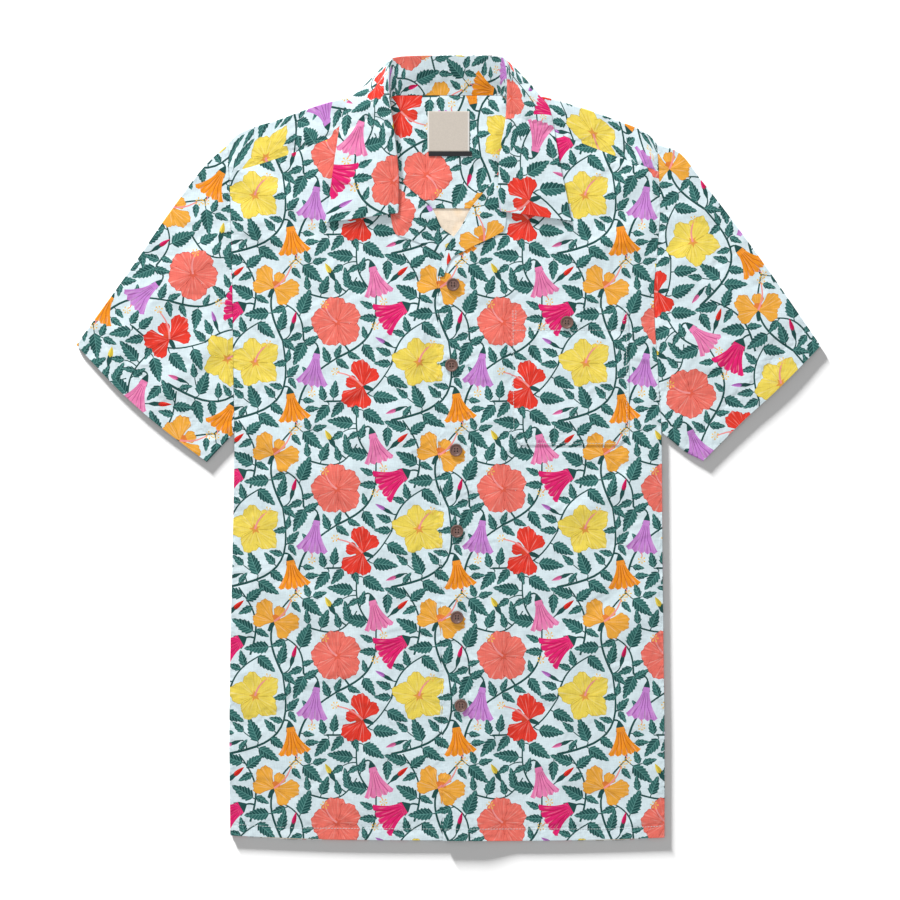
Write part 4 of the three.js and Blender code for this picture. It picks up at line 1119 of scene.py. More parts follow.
class ShirtInks(bpy.types.PropertyGroup):
    """Colours of the print and the trims."""

    ground: colour_property("Ground", "Pale blue ground of the cloth", (224, 241, 247))
    reverse: colour_property("Reverse", "The cloth's wrong side", (252, 234, 212))
    leaf: colour_property("Leaf", "Leaves", (24, 78, 77))
    vine: colour_property("Vine", "Vines and stalks", (26, 78, 75))
    coral: colour_property("Coral", "Coral flower", (246, 118, 104))
    red: colour_property("Red", "Red flower", (238, 58, 42))
    golden: colour_property("Golden", "Golden flower", (247, 176, 62))
    orange: colour_property("Orange", "Orange trumpet", (250, 152, 24))
    yellow: colour_property("Yellow", "Yellow flower", (246, 222, 90))
    magenta: colour_property("Magenta", "Magenta flower", (232, 26, 114))
    pink: colour_property("Pink", "Pink trumpet", (240, 130, 184))
    lilac: colour_property("Lilac", "Lilac trumpet", (206, 136, 217))
    stamen: colour_property("Stamen", "Stamen columns", (246, 152, 150))
    pollen: colour_property("Pollen", "Pollen", (248, 198, 84))
    button: colour_property("Button", "Buttons", (124, 93, 85))
    label: colour_property("Label", "Neck label", (214, 204, 192))
    tab: colour_property("Tab", "Tab under the label", (30, 30, 34))


# Pieces


def at_height(height):
    """The surface over the plan at a height given in plan."""
    return lambda x, y: np.stack([x, y, height(x, y)], -1)


def flat_at(z):
    """A level height."""
    return lambda x, y: np.full(np.shape(x), float(z))


def levels_outline(rows, count=40):
    """Outline between the left and right edges of a table of levels."""
    y = lerp(rows["y"][0], rows["y"][-1], even(count))
    left, right = through(rows["y"], rows["left"], y), through(rows["y"], rows["right"], y)
    foot = np.stack([lerp(left[0], right[0], even(14)[1:-1]), np.full(12, y[0])], 1)
    top = np.stack([lerp(right[-1], left[-1], even(14)[1:-1]), np.full(12, y[-1])], 1)
    return np.concatenate([foot, np.stack([right, y], 1), top, np.stack([left, y], 1)[::-1]])


def front_outline(rows, side):
    """Outline of a front: the hem, the placket, the lapel's roll and the neck, the yoke seam and the side."""
    def section(u, v):
        y = lerp(column(rows, "side_y", u), column(rows, "edge_y", u), v)
        y = y - column(rows, "bow", u) * np.sin(np.pi * v)
        return np.stack([lerp(side_x(side, y), column(rows, "edge_x", u), v), y], -1)

    v, u = even(42), even(140)
    return np.concatenate([
        section(0 * v, v)[:-1], section(u, 0 * u + 1)[:-1], section(0 * v + 1, v[::-1])[:-1],
        section(u[::-1], 0 * u)[:-1],
    ])


class ShirtOperator(bpy.types.Operator):
    """Builds one piece of the shirt."""

    bl_options = {"REGISTER", "UNDO"}

    def execute(self, context):
        """Builds the piece."""
        self.build()
        return {"FINISHED"}


class SHIRT_OT_back(ShirtOperator):
    """Back panel: flat on the surface, its right side down"""

    bl_idname = "shirt.back"
    bl_label = "Back"

    def build(self):
        y = lerp(-407.0, BACK_SEAM_Y - PLY_GAP, even(110))
        x = lerp(-228.2, 226.2, even(70))
        hem = np.stack([x, through(HEM["x"], HEM["y"], x)], 1)
        seam_y = BACK_SEAM_Y - PLY_GAP
        seam_x = lerp(side_x("right", seam_y), side_x("left", seam_y), even(70))
        outline = np.concatenate([
            hem, np.stack([side_x("right", y), y], 1)[1:-1], np.stack([seam_x, 0 * seam_x + seam_y], 1),
            np.stack([side_x("left", y), y], 1)[-2:0:-1],
        ])
        cloth = sizes().cloth
        made = wall(cut(outline, (0, 31, 12), spacing=22.0), at_height(flat_at(cloth / 2)), cloth, outer=-1)
        thing = put_cloth("back_cloth", made, "back")


class SHIRT_OT_yoke(ShirtOperator):
    """Yoke: the outer layer from the back seam over both shoulders, and the inside layer the neck shows"""

    bl_idname = "shirt.yoke"
    bl_label = "Yoke"

    def build(self):
        s = sizes()
        radius = ply() / 2
        roll = np.pi * radius

        def crest(x):
            right = through(SHOULDER["right"]["x"], SHOULDER["right"]["y"], x)
            left = through(SHOULDER["left"]["x"], SHOULDER["left"]["y"], x)
            return np.where(x > 0, right, left) - radius

        def surface(x, t):
            c = crest(x)
            angle = np.clip((t - c) / radius, 0, np.pi)
            y = np.where(t <= c, t, c + radius * np.sin(angle) - np.maximum(t - c - roll, 0))
            lift = ramp(t - c - roll, 0, 6) * swell(x, y)
            return np.stack([x, y, s.cloth / 2 + radius * (1 - np.cos(angle)) + lift], -1)

        halves, lines = [], []
        for side, neck_x, rows in (("right", NECK_RIGHT_X, FRONT_LEFT), ("left", NECK_LEFT_X, FRONT_RIGHT)):
            v = even(36)
            seam_y = lerp(rows["side_y"][-1], rows["edge_y"][-1], v) - rows["bow"][-1] * np.sin(np.pi * v) + PLY_GAP
            seam_x = lerp(side_x(side, seam_y), neck_x, v)
            over = lambda x, y: np.stack([x, 2 * crest(x) + roll - y], -1)  # noqa: E731
            top = crest(side_x(side, ARMHOLE_TOP_Y))
            up = lerp(BACK_SEAM_Y, float(top), even(16))
            down = lerp(float(top), seam_y[0], even(9))
            neck_top = float(crest(np.array(neck_x)))
            half = np.concatenate([
                np.stack([side_x(side, up), up], 1), over(side_x(side, down), down)[:-1], over(seam_x, seam_y),
                over(np.full(4, neck_x), lerp(seam_y[-1], neck_top, even(4)))[1:], [(neck_x, neck_top)],
            ])
            halves.append(half)
            x = lerp(float(side_x(side, ARMHOLE_TOP_Y)) * 0.999, neck_x * 1.001, even(44))
            lines += [np.stack([x, crest(x) + roll * f], 1) for f in (0, 0.25, 0.5, 0.75, 1)]
        neck = np.stack([lerp(NECK_RIGHT_X, NECK_LEFT_X, even(24)), np.full(24, BACK_NECK_Y)], 1)
        foot = np.stack([lerp(halves[1][0, 0], halves[0][0, 0], even(60)[1:-1]), np.full(58, BACK_SEAM_Y)], 1)
        outline = np.concatenate([halves[0], neck, halves[1][::-1], foot])
        made = wall(cut(outline, (0, 31, -34), lines), surface, s.cloth, outer=-1)
        thing = put_cloth("yoke_cloth", made, "yoke_outer")
        inner = cut(levels_outline(LINING), (180, 12, 40), spacing=14.0)
        made = wall(inner, at_height(flat_at(ply() + s.cloth / 2)), s.cloth)
        thing = put_cloth("yoke_lining_cloth", made, "yoke_inner")


class SHIRT_OT_fronts(ShirtOperator):
    """Fronts: the wearer's right one goes under at the placket, and the left one over"""

    bl_idname = "shirt.fronts"
    bl_label = "Fronts"

    def build(self):
        s = sizes()
        for name, rows, side, height, grain in (
            ("front_right", FRONT_RIGHT, "left", right_front_z, (0, 20, 30)),
            ("front_left", FRONT_LEFT, "right", left_front_z, (0, 22, 30)),
        ):
            made = wall(cut(front_outline(rows, side), grain), at_height(height), s.cloth)
            thing = put_cloth(name + "_cloth", made, name)


class SHIRT_OT_lapels(ShirtOperator):
    """Lapels: the turned-out facings, which roll round the fronts' edges"""

    bl_idname = "shirt.lapels"
    bl_label = "Lapels"

    def build(self):
        s = sizes()
        radius = ply() / 2
        for name, rows, front, height, grain in (
            ("lapel_right", LAPEL_RIGHT, FRONT_RIGHT, right_front_z, (128, 10, 40)),
            ("lapel_left", LAPEL_LEFT, FRONT_LEFT, left_front_z, (52, 60, 20)),
        ):
            u = even(46)
            section = lerp(rows["section"][0], rows["section"][-1], u)
            free = np.stack([through(rows["section"], rows[k], section) for k in "xy"], 1)
            t = section / (len(front["edge_x"]) - 1)
            edge = np.stack([column(front, "edge_x", t), column(front, "edge_y", t)], 1)
            d = np.gradient(edge, axis=0)
            out = unit(np.stack([d[:, 1], -d[:, 0]], 1))
            out *= np.sign(np.sum(out * (edge - free), 1))[:, None]
            turn = edge + out * 0.8
            flat = cut(np.concatenate([free, turn[::-1]]), grain, spacing=7.0)
            lift = lambda x, y, h=height: h(x, y) + ply()  # noqa: E731
            body = wall(flat, at_height(lift), s.cloth)
            angle = np.pi / 2 - np.pi * even(9)
            z = height(*turn.T)
            rings = []
            for r in (radius + s.cloth / 2, radius - s.cloth / 2):
                ring = turn[:, None] + out[:, None] * (0.004 + r * np.cos(angle))[None, :, None]
                rings.append(np.concatenate([ring, (z[:, None] + radius + r * np.sin(angle)[None])[..., None]], -1))
            made = joined([body, rolled_edge(rings, flat, turn)])
            thing = put_cloth(name + "_cloth", made, name)


def rolled_edge(rings, made, line):
    """A closed band between an outer and an inner half round carried along a line, with ends and foot closed.
    Its inks are those of the cut's triangles nearest to the line."""
    n, k = rings[0].shape[:2]
    points = np.concatenate([rings[0].reshape(-1, 3), rings[1].reshape(-1, 3)])
    i, j = np.meshgrid(np.arange(n - 1), np.arange(k - 1), indexing="ij")
    a = (i * k + j).ravel()
    quads = [np.stack([a, a + 1, a + k + 1, a + k], 1), np.stack([a, a + k, a + k + 1, a + 1], 1) + n * k]
    foot = np.arange(n - 1) * k + k - 1
    quads.append(np.stack([foot, foot + n * k, foot + k + n * k, foot + k], 1))
    head = np.arange(n - 1) * k
    quads.append(np.stack([head, head + k, head + k + n * k, head + n * k], 1))
    for row, flip in ((0, False), (n - 1, True)):
        e = row * k + np.arange(k - 1)
        cap = np.stack([e, e + n * k, e + 1 + n * k, e + 1], 1)
        quads.append(cap[:, ::-1] if flip else cap)
    quads = np.concatenate(quads)
    middle = points[quads].mean(1)
    centre = np.concatenate([rings[0].mean(1)[:, None]] * k, 1).reshape(-1, 3)
    outward = unit(points - np.concatenate([centre, centre]))
    outward[n * k:] *= -1
    flat_middle = made["places"][made["tris"]].mean(1)
    nearest = np.array([np.argmin(np.sum((flat_middle - m) ** 2, 1)) for m in middle[:, :2]])
    a, b, c, d = quads.T
    tris = np.concatenate([np.stack([a, b, c], 1), np.stack([a, c, d], 1)])
    volume = np.einsum("ij,ij->i", points[tris[:, 0]], np.cross(points[tris[:, 1]], points[tris[:, 2]])).sum()
    if volume < 0:
        tris = tris[:, ::-1]
    motif = np.zeros((len(tris), 3, 3))
    return {
        "points": points, "directions": outward, "faces": tris, "ink": np.tile(made["ink"][nearest], (2, 1)),
        "motif": motif, "map": np.full((len(tris), 3, 2), 0.25) + face_maps(points[:, :2], tris, (0, 0, 0.01, 0.01)),
    }


class SHIRT_OT_collar(ShirtOperator):
    """Collar: one ribbon that climbs the stand, rolls over and falls to its points"""

    bl_idname = "shirt.collar"
    bl_label = "Collar"

    def build(self):
        length, width = 506.0, 112.0

        def surface(a, b):
            u, v = np.clip(a / length, 0, 1), np.clip(b / width, 0, 1)
            line = lambda name: np.stack([column(COLLAR, f"{name}_{k}", u) for k in "xyz"], -1)  # noqa: E731
            neck, roll, edge = line("neck"), line("roll"), line("edge")
            edge[:, 2] += 1.4 * (ramp(0.24 - u, 0, 0.2) + ramp(u - 0.76, 0, 0.2))
            crown = column(COLLAR, "crown", u)[..., None] * [0.0, 0.0, 1.0]
            points = [
                neck, lerp(neck, roll, 0.55) + [0, 0, 0.4], roll, lerp(roll, edge, 0.12) + 0.75 * crown,
                lerp(roll, edge, 0.5) + crown, edge,
            ]
            return section_through([0, 0.2, 0.4, 0.5, 0.75, 1], points, v)

        s, t = even(150), even(34)
        outline = np.concatenate([
            np.stack([s * length, 0 * s], 1)[:-1], np.stack([0 * t + length, t * width], 1)[:-1],
            np.stack([s[::-1] * length, 0 * s + width], 1)[:-1], np.stack([0 * t, t[::-1] * width], 1)[:-1],
        ])
        lines = [np.stack([s[1:-1] * length, 0 * s[1:-1] + width * f], 1) for f in (0.33, 0.37, 0.4, 0.43, 0.46, 0.5)]
        made = wall(cut(outline, (90, 50, 18), lines, 8.0), surface, sizes().collar, outer=1, both=True)
        thing = put_cloth("collar_cloth", made, "collar")



class SHIRT_OT_sleeves(ShirtOperator):
    """Sleeves: flattened tubes, folded over the arm and under it, open at the armhole and the cuff"""

    bl_idname = "shirt.sleeves"
    bl_label = "Sleeves"

    def build(self):
        for name, side, grain in (("sleeve_left", "right", (32, 40, 10)), ("sleeve_right", "left", (-42, 10, 30))):
            thing = put_cloth(name + "_cloth", sleeve(side, grain), name)


def sleeve(side, grain):
    """A flattened tube from one cut: the same cut is laid twice, above and below, each as a wall, and half rounds
    join the two along the folds."""
    s = sizes()
    rows = SLEEVE[side]
    sign = 1 if side == "right" else -1
    radius = ply() / 2 + s.cloth / 2
    y = lerp(ARMHOLE_TOP_Y, UNDERARM_Y, even(60))
    arm = np.stack([side_x(side, y) + sign * 0.5, y], 1)
    over = curve([arm[0], *rows["over"][1:]], even(60))
    under = curve([arm[-1], *rows["under"][1:]], even(14))
    cuff = curve(rows["cuff"], even(40))

    def inset(line, toward):
        d = np.gradient(line, axis=0)
        n = unit(np.stack([-d[:, 1], d[:, 0]], 1))
        n *= np.sign(np.sum(n * (toward - line), 1))[:, None]
        return line + n * radius

    centre = np.array([sign * 300.0, 140.0])
    over, under = inset(over, centre), inset(under, centre)
    ring = np.concatenate([over, cuff[1:-1], under[::-1], arm[::-1][1:-1]])
    made = cut(ring, grain)
    tris, places = made["tris"], made["places"]
    rear, extra = reverse_side(made)
    every = np.concatenate([places, extra])

    def air(x, y):
        open_share = np.clip((np.abs(x) - 225) / 165, 0, 1) ** 2
        inside = np.minimum(line_distance(x, y, over), line_distance(x, y, under))
        return s.air * open_share * ramp(inside, 0, 60) + swell(x, y)

    top = at_height(lambda x, y: s.cloth / 2 + ply() + air(x, y))
    n, half, up = len(every), s.cloth / 2, np.repeat([(0.0, 0.0, 1.0)], len(every), 0)
    upper, normals = top(*every.T), surface_normals(top, every)
    near = np.exp(-((line_distance(*every.T, under) / 10.0) ** 2))
    peek = rows["peek"] * near * np.sin(np.pi * np.clip((np.abs(every[:, 0]) - 236) / 29, 0, 1))
    lower = np.concatenate([every + peek[:, None] * [-0.63 * sign, -0.77], np.full((n, 1), half)], 1)
    points = [upper + normals * half, upper - normals * half, lower + up * half, lower - up * half]
    edges = boundary(tris)
    middle = places[edges].mean(1)
    to_fold = np.minimum(line_distance(*middle.T, over), line_distance(*middle.T, under))
    to_open = np.minimum(line_distance(*middle.T, cuff), line_distance(*middle.T, arm))
    folded = to_fold < to_open
    a, b = edges[~folded].T
    rims = np.concatenate([
        two_triangles(b, a, a + n, b + n), two_triangles(b + 2 * n, a + 2 * n, a + 3 * n, b + 3 * n),
    ])
    reverse, reverse_motif = unprinted(len(rear))
    rim_ink = np.tile(made["ink"][edge_owner(tris, edges[~folded])], (4, 1))
    boxes = map_strips(0.45, 0.9, 1.0)
    maps = [face_maps(places, tris, box) for box in boxes[:2]] + [face_maps(every, rear, boxes[2])]
    body = {
        "points": np.concatenate(points), "directions": np.concatenate([normals, -normals, up, -up]),
        "faces": np.concatenate([tris, rear[:, ::-1] + n, rear + 2 * n, tris[:, ::-1] + 3 * n, rims]),
        "ink": np.concatenate([made["ink"], reverse, reverse, made["ink"], rim_ink]),
        "motif": np.concatenate([
            made["motif"], reverse_motif, reverse_motif, made["motif"][:, ::-1], np.zeros((len(rims), 3, 3)),
        ]),
        "map": np.concatenate([
            maps[0], maps[2][:, ::-1], maps[2], maps[1][:, ::-1], face_maps(np.tile(every, (4, 1)), rims, boxes[0]),
        ]),
    }
    fold_edges = edges[folded]
    owner = edge_owner(tris, fold_edges)
    d = unit(places[fold_edges[:, 1]] - places[fold_edges[:, 0]])
    out = np.zeros((n, 2))
    for end in (0, 1):
        np.add.at(out, fold_edges[:, end], np.stack([d[:, 1], -d[:, 0]], 1))
    out = unit(out)
    angle = np.pi * even(7)
    used = np.unique(fold_edges)
    spot = np.zeros(n, int)
    spot[used] = np.arange(len(used))
    k = len(angle)
    bands = []
    for high, low in ((points[0], points[3]), (points[1], points[2])):
        centre_z = (high[used, 2] + low[used, 2]) / 2
        reach = (high[used, 2] - low[used, 2]) / 2
        side_out = out[used][:, None] * (np.minimum(reach, radius)[:, None] * np.sin(angle)[None])[..., None]
        flat = lerp(high[used, None, :2], low[used, None, :2], (angle / np.pi)[None, :, None]) + side_out
        z = centre_z[:, None] + reach[:, None] * np.cos(angle)[None]
        bands.append(np.concatenate([flat, z[..., None]], -1))
    fold_points = np.concatenate([bands[0].reshape(-1, 3), bands[1].reshape(-1, 3)])
    tilt = np.stack([np.broadcast_to(np.cos(angle), (len(used), k)), np.broadcast_to(np.sin(angle), (len(used), k))])
    outward = np.concatenate([out[used][:, None] * tilt[1][..., None], tilt[0][..., None]], -1).reshape(-1, 3)
    a, b = spot[fold_edges[:, 0]], spot[fold_edges[:, 1]]
    pieces, inks = [], []
    for j in range(k - 1):
        pieces.append(two_triangles(b * k + j, a * k + j, a * k + j + 1, b * k + j + 1))
        inks.append(np.tile(made["ink"][owner], (2, 1)))
        m = len(used) * k
        p, q = a * k + j + m, b * k + j + m
        pieces.append(two_triangles(p, q, q + 1, p + 1))
        inks.append(np.tile(reverse[:1], (2 * len(owner), 1)))
    count = np.bincount(fold_edges.ravel(), minlength=n)
    starts = set(fold_edges[:, 0])
    for end in np.where(count == 1)[0]:
        e, m = spot[end] * k + np.arange(k - 1), len(used) * k
        cap = two_triangles(e, e + 1, e + 1 + m, e + m)
        pieces.append(cap[:, ::-1] if end in starts else cap)
        inks.append(np.tile(reverse[:1], (len(cap), 1)))
    faces = np.concatenate(pieces)
    folds = {
        "points": fold_points, "directions": np.concatenate([outward, -outward]), "faces": faces,
        "ink": np.concatenate(inks), "motif": np.zeros((len(faces), 3, 3)),
        "map": face_maps(fold_points[:, :2], faces, boxes[0]),
    }
    return joined([body, folds])


class SHIRT_OT_pocket(ShirtOperator):
    """Pocket: a patch on the wearer's left front, one layer up"""

    bl_idname = "shirt.pocket"
    bl_label = "Pocket"

    def build(self):
        outline = levels_outline(POCKET, 60)
        height = at_height(lambda x, y: left_front_z(x, y) + ply())
        thing = put_cloth("pocket_cloth", wall(cut(outline, (0, 22.7, 29.1)), height, sizes().cloth), "pocket")


class SHIRT_OT_label(ShirtOperator):
    """Neck label and the tab under it, both bare, on the yoke's inside layer"""

    bl_idname = "shirt.label"
    bl_label = "Label"

    def build(self):
        inks = bpy.context.scene.shirt_inks
        for name, slot, colour, selvage, box in (
            ("neck_label", "label_weave", inks.label, 0.0204, (-21.7, 312.2, 21.8, 353.9)),
            ("size_tab", "tab_weave", inks.tab, 1.0, (-20.5, 307.1, 24.2, 311.9)),
        ):
            x0, y0, x1, y1 = box
            u, v = np.meshgrid(even(40), even(36), indexing="ij")
            x, y = lerp(x0, x1, u), lerp(y0, y1, v)
            z = 2 * ply() + sizes().label / 2 + 0.12 * np.sin(5 * u + 1) * np.sin(np.pi * v)
            made = grid_wall(np.stack([x, y, z], -1), sizes().label)
            thing = put(name + "_weave", *made, woven_label(name + "_weave", tuple(colour), selvage), slot, name)


def grid_wall(middle, thickness):
    """A closed wall on a grid of points: both sides, and a rounded rim."""
    rows, cols = middle.shape[:2]
    normals = unit(np.cross(np.gradient(middle, axis=0), np.gradient(middle, axis=1)))
    if normals[..., 2].mean() < 0:
        normals = -normals
    edge = np.concatenate([
        np.arange(cols), np.arange(1, rows) * cols + cols - 1, rows * cols - 2 - np.arange(cols - 1),
        np.arange(rows - 2, 0, -1) * cols,
    ])
    flat = middle.reshape(-1, 3)
    centre = flat.mean(0)
    ring = flat[edge] + unit((flat[edge] - centre) * [1, 1, 0]) * thickness * 0.4
    n = rows * cols
    rise = normals.reshape(-1, 3) * thickness / 2
    points = np.concatenate([flat + rise, flat - rise, ring])
    i, j = np.meshgrid(np.arange(rows - 1), np.arange(cols - 1), indexing="ij")
    a = (i * cols + j).ravel()
    top = np.stack([a, a + cols, a + cols + 1, a + 1], 1)
    around = np.roll(edge, -1)
    r = 2 * n + np.arange(len(edge))
    band = np.concatenate([
        np.stack([edge, around, np.roll(r, -1), r], 1), np.stack([r, np.roll(r, -1), around + n, edge + n], 1),
    ])
    return points, np.concatenate([top, top[:, ::-1] + n, band])


class SHIRT_OT_buttons(ShirtOperator):
    """Buttons: four holes, a raised rim and the thread through the holes, near-black there as painted shade of the
    holes
    """

    bl_idname = "shirt.buttons"
    bl_label = "Buttons"

    def build(self):
        s = sizes()
        for name, x, y in zip(BUTTON_NAMES, BUTTONS["x"], BUTTONS["y"]):
            foot = float(left_front_z(np.array(x), np.array(y))) + s.cloth / 2 + PLY_GAP
            foot += ply() if name == "button_pocket" else 0.0
            button(name, (x, y, foot))


def button(name, place):
    """A button: a profile spun about its axis, drilled four times, and its thread. The thread in the holes is
    near-black and nearly fills them: real thread with the holes' shade painted on it.
    """
    s = sizes()
    r, h = s.button, s.button_height
    button_brown = satin_button("button_brown", tuple(bpy.context.scene.shirt_inks.button))
    profile = np.array([
        (0, 0), (r - 1.0, 0), (r - 0.35, 0.15), (r, 0.7), (r, h - 0.9), (r - 0.2, h - 0.3), (r - 0.6, h),
        (r - 1.1, h - 0.05), (r - 1.5, h - 0.5), (r - 1.9, h - 1.05), (r - 2.4, h - 1.25), (r - 3.0, h - 0.98), (0, h - 0.9),
    ])
    turn = np.arange(48) * 2 * np.pi / 48
    ring = np.stack([
        profile[1:-1, :1] * np.cos(turn), profile[1:-1, :1] * np.sin(turn), profile[1:-1, 1:] + 0 * turn,
    ], -1)
    points = np.concatenate([ring.reshape(-1, 3), [(0, 0, 0), (0, 0, h - 0.9)]])
    i, j = np.meshgrid(np.arange(len(profile) - 3), np.arange(48), indexing="ij")
    a, b = (i * 48 + j).ravel(), (i * 48 + (j + 1) % 48).ravel()
    top, count = len(points) - 1, len(profile) - 3
    j = np.arange(48)
    faces = np.concatenate([
        np.stack([a, b, b + 48], 1), np.stack([a, b + 48, a + 48], 1),
        np.stack([np.full(48, top - 1), (j + 1) % 48, j], 1),
        np.stack([np.full(48, top), count * 48 + j, count * 48 + (j + 1) % 48], 1),
    ])
    thing = put(name + "_disc", points, faces, button_brown, "button", name)
    drill = bpy.data.meshes.new("drill")
    a = np.arange(12) * 2 * np.pi / 12
    posts, walls = [], []
    for k, (sx, sy) in enumerate(((1, 1), (-1, 1), (-1, -1), (1, -1))):
        post = np.stack([sx * 1.45 + 0.8 * np.cos(a), sy * 1.45 + 0.8 * np.sin(a)], 1)
        for z in (-3.0, h + 3.0):
            posts += [(*p, z) for p in post]
        first = 24 * k
        walls += [[first + i, first + (i + 1) % 12, first + 12 + (i + 1) % 12, first + 12 + i] for i in range(12)]
        walls += [list(range(first + 11, first - 1, -1)), list(range(first + 12, first + 24))]
    drill.from_pydata((np.array(posts) * MM).tolist(), [], walls)
    tool = bpy.data.objects.new("drill", drill)
    bpy.context.scene.collection.objects.link(tool)
    holes = thing.modifiers.new("holes", "BOOLEAN")
    holes.operation, holes.object, holes.solver = "DIFFERENCE", tool, "EXACT"
    made = bpy.data.meshes.new_from_object(thing.evaluated_get(bpy.context.evaluated_depsgraph_get()))
    thing.modifiers.remove(holes)
    thing.data = made
    bpy.data.objects.remove(tool)
    made.materials.clear()
    made.materials.append(button_brown)
    co = np.empty(len(made.vertices) * 3, np.float32)
    made.vertices.foreach_get("co", co)
    made.vertices.foreach_set("co", (co.reshape(-1, 3) + np.array(place, np.float32) * MM).ravel())
    made.set_sharp_from_angle(angle=0.7)
    made.update()
    t = even(15)
    arch = np.stack([0 * t, 2 * 1.45 * (t - 0.5), h - 0.84 - 1.2 * (np.abs(2 * t - 1)) ** 6], 1) + np.array(place)
    hole_thread_shade_path = np.stack([0 * t, 0.05 * t, t * (h - 1.5) - 0.1], 1) + np.array(place)
    across = [tube(arch + [x, 0, 0], 0.15, 6) for x in (-1.6, -1.3, 1.3, 1.6)]
    # thread in the holes, almost as wide as the holes, so that its dark colour paints the holes' shade
    hole_thread_and_shade = [tube(hole_thread_shade_path + [x, y, 0], 0.72, 8) for x in (-1.45, 1.45) for y in (-1.45, 1.45)]
    put(name + "_thread", *gathered(across), thread("button_thread", (0.13, 0.085, 0.075)), "button")
    # near-black: painted shade of the deep holes, on the thread that runs through them
    put(name + "_shank", *gathered(hole_thread_and_shade), thread("button_shank", (0.006, 0.003, 0.003)), "button")


def tube(path, radius, sides):
    """A closed tube of a radius along a path, with frames turned from each point's direction and the z axis."""
    d = unit(np.gradient(path, axis=0))
    across = unit(np.cross(d, [0.0, 0.0, 1.0]) + 1e-9)
    up = np.cross(across, d)
    a = np.arange(sides) * 2 * np.pi / sides
    taper = np.ones(len(path))
    taper[[0, -1]] = 0.6
    ring = path[:, None] + radius * taper[:, None, None] * (
        np.cos(a)[None, :, None] * across[:, None] + np.sin(a)[None, :, None] * up[:, None]
    )
    n = len(path)
    i, j = np.meshgrid(np.arange(n - 1), np.arange(sides), indexing="ij")
    p, q = (i * sides + j).ravel(), (i * sides + (j + 1) % sides).ravel()
    k = np.arange(sides)
    last = (n - 1) * sides
    faces = np.concatenate([
        np.stack([p, p + sides, q + sides], 1), np.stack([p, q + sides, q], 1),
        np.stack([np.full(sides, n * sides), k, (k + 1) % sides], 1),
        np.stack([np.full(sides, n * sides + 1), last + (k + 1) % sides, last + k], 1),
    ])
    return np.concatenate([ring.reshape(-1, 3), path[:1], path[-1:]]), faces


def gathered(parts):
    """Several sets of points and faces as one."""
    starts = np.cumsum([0] + [len(p) for p, _ in parts])
    return np.concatenate([p for p, _ in parts]), np.concatenate([f + s for (_, f), s in zip(parts, starts)])


def stitches(path, surface):
    """Stitches along a plan path on a surface: each is a short tube bent down at both ends, one stitch and a gap
    to a step."""
    path = np.asarray(path, float)
    reach = reach_along(path)
    pace = sizes().stitch + 0.6
    count = max(int(reach[-1] / pace), 1)
    start = (np.arange(count) + 0.1) * reach[-1] / count
    along = start[:, None] + sizes().stitch * even(5)[None]
    x, y = np.interp(along, reach, path[:, 0]), np.interp(along, reach, path[:, 1])
    z = surface(x, y) + 0.14 - 0.32 * np.abs(2 * even(5) - 1) ** 3
    return [tube(p, 0.26, 5) for p in np.stack([x, y, z], -1)]


class SHIRT_OT_stitching(ShirtOperator):
    """Stitching of the hem and the pocket"""

    bl_idname = "shirt.stitching"
    bl_label = "Stitching"

    def build(self):
        half = sizes().cloth / 2
        groups = {
            "stitching_front_right": ([hem_stitch("left")], lambda x, y: right_front_z(x, y) + half),
            "stitching_front_left": ([hem_stitch("right")], lambda x, y: left_front_z(x, y) + half),
            "stitching_pocket": (
                [
                    pocket_stitch(), np.array([(68.0, 124.5), (186.5, 124.5)]),
                    np.array([(70.7, 146.0), (70.7, 134.6), (68.2, 134.6)]),
                    np.array([(183.4, 146.0), (183.4, 134.6), (185.9, 134.6)]),
                ],
                lambda x, y: left_front_z(x, y) + ply() + half,
            ),
        }
        for name, (paths, height) in groups.items():
            points, faces = gathered([t for path in paths for t in stitches(path, height)])
            put(name, points, faces, thread("cotton_thread", (0.76, 0.84, 0.86)), "printed_cloth")


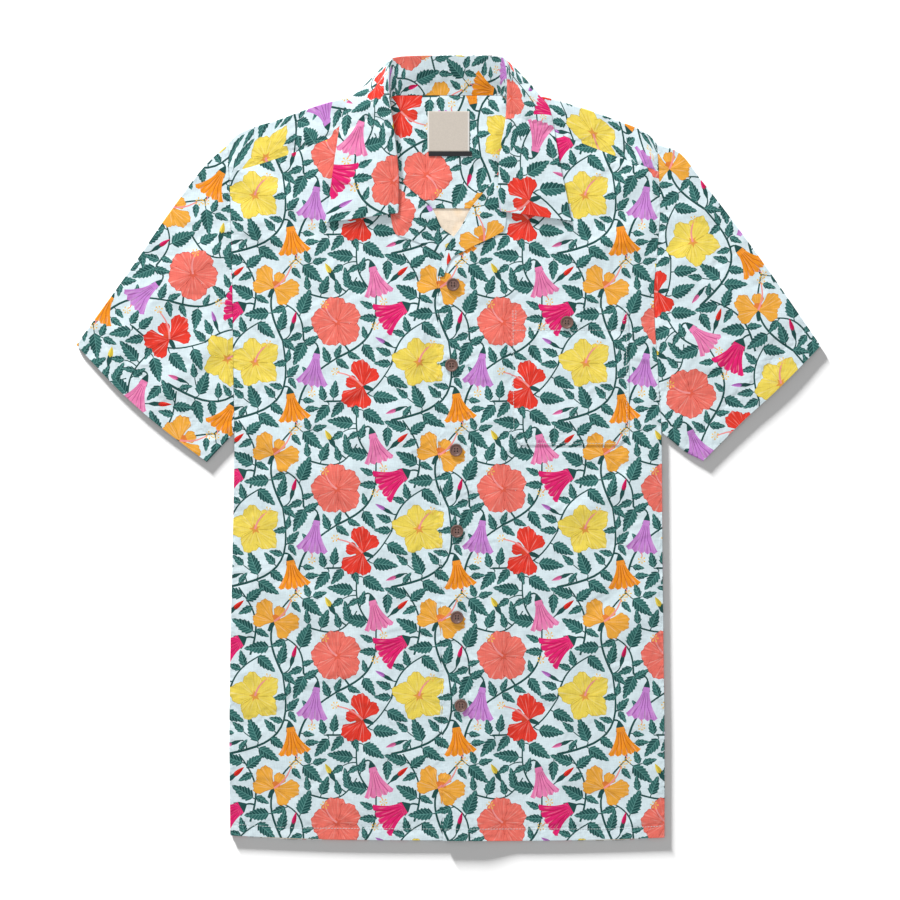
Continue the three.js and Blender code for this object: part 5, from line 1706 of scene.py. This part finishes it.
class SHIRT_OT_stage(ShirtOperator):
    """Floor, lights and the camera, straight above the shirt"""

    bl_idname = "shirt.stage"
    bl_label = "Stage"

    def build(self):
        scene = bpy.context.scene
        mesh = bpy.data.meshes.new("floor")
        mesh.from_pydata([(-6, -6, -0.0004), (6, -6, -0.0004), (6, 6, -0.0004), (-6, 6, -0.0004)], [], [(0, 1, 2, 3)])
        floor = bpy.data.objects.new("floor", mesh)
        scene.collection.objects.link(floor)
        f = Finish("pale_floor")
        tone = f.mix(f.noise(3.0), (0.89, 0.89, 0.89, 1), (0.91, 0.91, 0.91, 1))
        mesh.materials.append(f.finished({"Base Color": tone, "Roughness": 0.9}))
        world = bpy.data.worlds.new("soft_studio")
        world.use_nodes = True
        world.node_tree.nodes["Background"].inputs[0].default_value = (1, 1, 1, 1)
        world.node_tree.nodes["Background"].inputs[1].default_value = 0.43
        scene.world = world
        # the low light casts the shirt's shadow on the floor, and the other two light the shirt
        for name, place, size, power, state in (
            ("key", (-1.0, 2.6, 1.2), 0.5, 80.0, "EXCLUDE"), ("fill", (0.4, -1.2, 2.8), 2.4, 20.0, "EXCLUDE"),
            ("low", (-3.2, 5.9, 0.92), 0.62, 3300.0, "INCLUDE"),
        ):
            lamp = bpy.data.lights.new(name, "AREA")
            lamp.size, lamp.energy = size, power
            thing = bpy.data.objects.new(name, lamp)
            thing.location = place
            thing.rotation_mode = "QUATERNION"
            thing.rotation_quaternion = Vector(place).to_track_quat("Z", "Y")
            lit = bpy.data.collections.new("lit_by_" + name)
            lit.objects.link(floor)
            lit.collection_objects[0].light_linking.link_state = state
            thing.light_linking.receiver_collection = lit
            scene.collection.objects.link(thing)
        camera = bpy.data.cameras.new("camera")
        camera.lens = 85.0
        camera.sensor_width = 36.0
        eye = bpy.data.objects.new("camera", camera)
        eye.location = (0.0016, -0.0011, 2.2313)
        scene.collection.objects.link(eye)
        scene.camera = eye
        scene.view_settings.view_transform = "Standard"


class SHIRT_PT_panel(bpy.types.Panel):
    """Lists the pieces and their settings"""

    bl_idname = "SHIRT_PT_panel"
    bl_label = "Shirt"
    bl_space_type = "VIEW_3D"
    bl_region_type = "UI"
    bl_category = "Shirt"

    def draw(self, context):
        """One button for each piece, then the sizes and the inks."""
        for operator in OPERATORS:
            self.layout.operator(operator.bl_idname)
        for group in (context.scene.shirt_sizes, context.scene.shirt_inks):
            for name in group.__annotations__:
                self.layout.prop(group, name)


OPERATORS = (
    SHIRT_OT_back, SHIRT_OT_yoke, SHIRT_OT_fronts, SHIRT_OT_lapels, SHIRT_OT_collar,
    SHIRT_OT_sleeves, SHIRT_OT_pocket, SHIRT_OT_label, SHIRT_OT_buttons, SHIRT_OT_stitching, SHIRT_OT_stage,
)
CLASSES = (ShirtSizes, ShirtInks, *OPERATORS, SHIRT_PT_panel)


def register():
    """Registers the classes and hangs the settings on the scene."""
    for each in CLASSES:
        bpy.utils.register_class(each)
    bpy.types.Scene.shirt_sizes = bpy.props.PointerProperty(type=ShirtSizes)
    bpy.types.Scene.shirt_inks = bpy.props.PointerProperty(type=ShirtInks)


def unregister():
    """Takes the settings and the classes away again."""
    del bpy.types.Scene.shirt_inks
    del bpy.types.Scene.shirt_sizes
    for each in reversed(CLASSES):
        bpy.utils.unregister_class(each)


def main():
    """Builds every piece in order."""
    register()
    for operator in OPERATORS:
        group, name = operator.bl_idname.split(".")
        getattr(getattr(bpy.ops, group), name)()


if __name__ == "__main__":
    main()
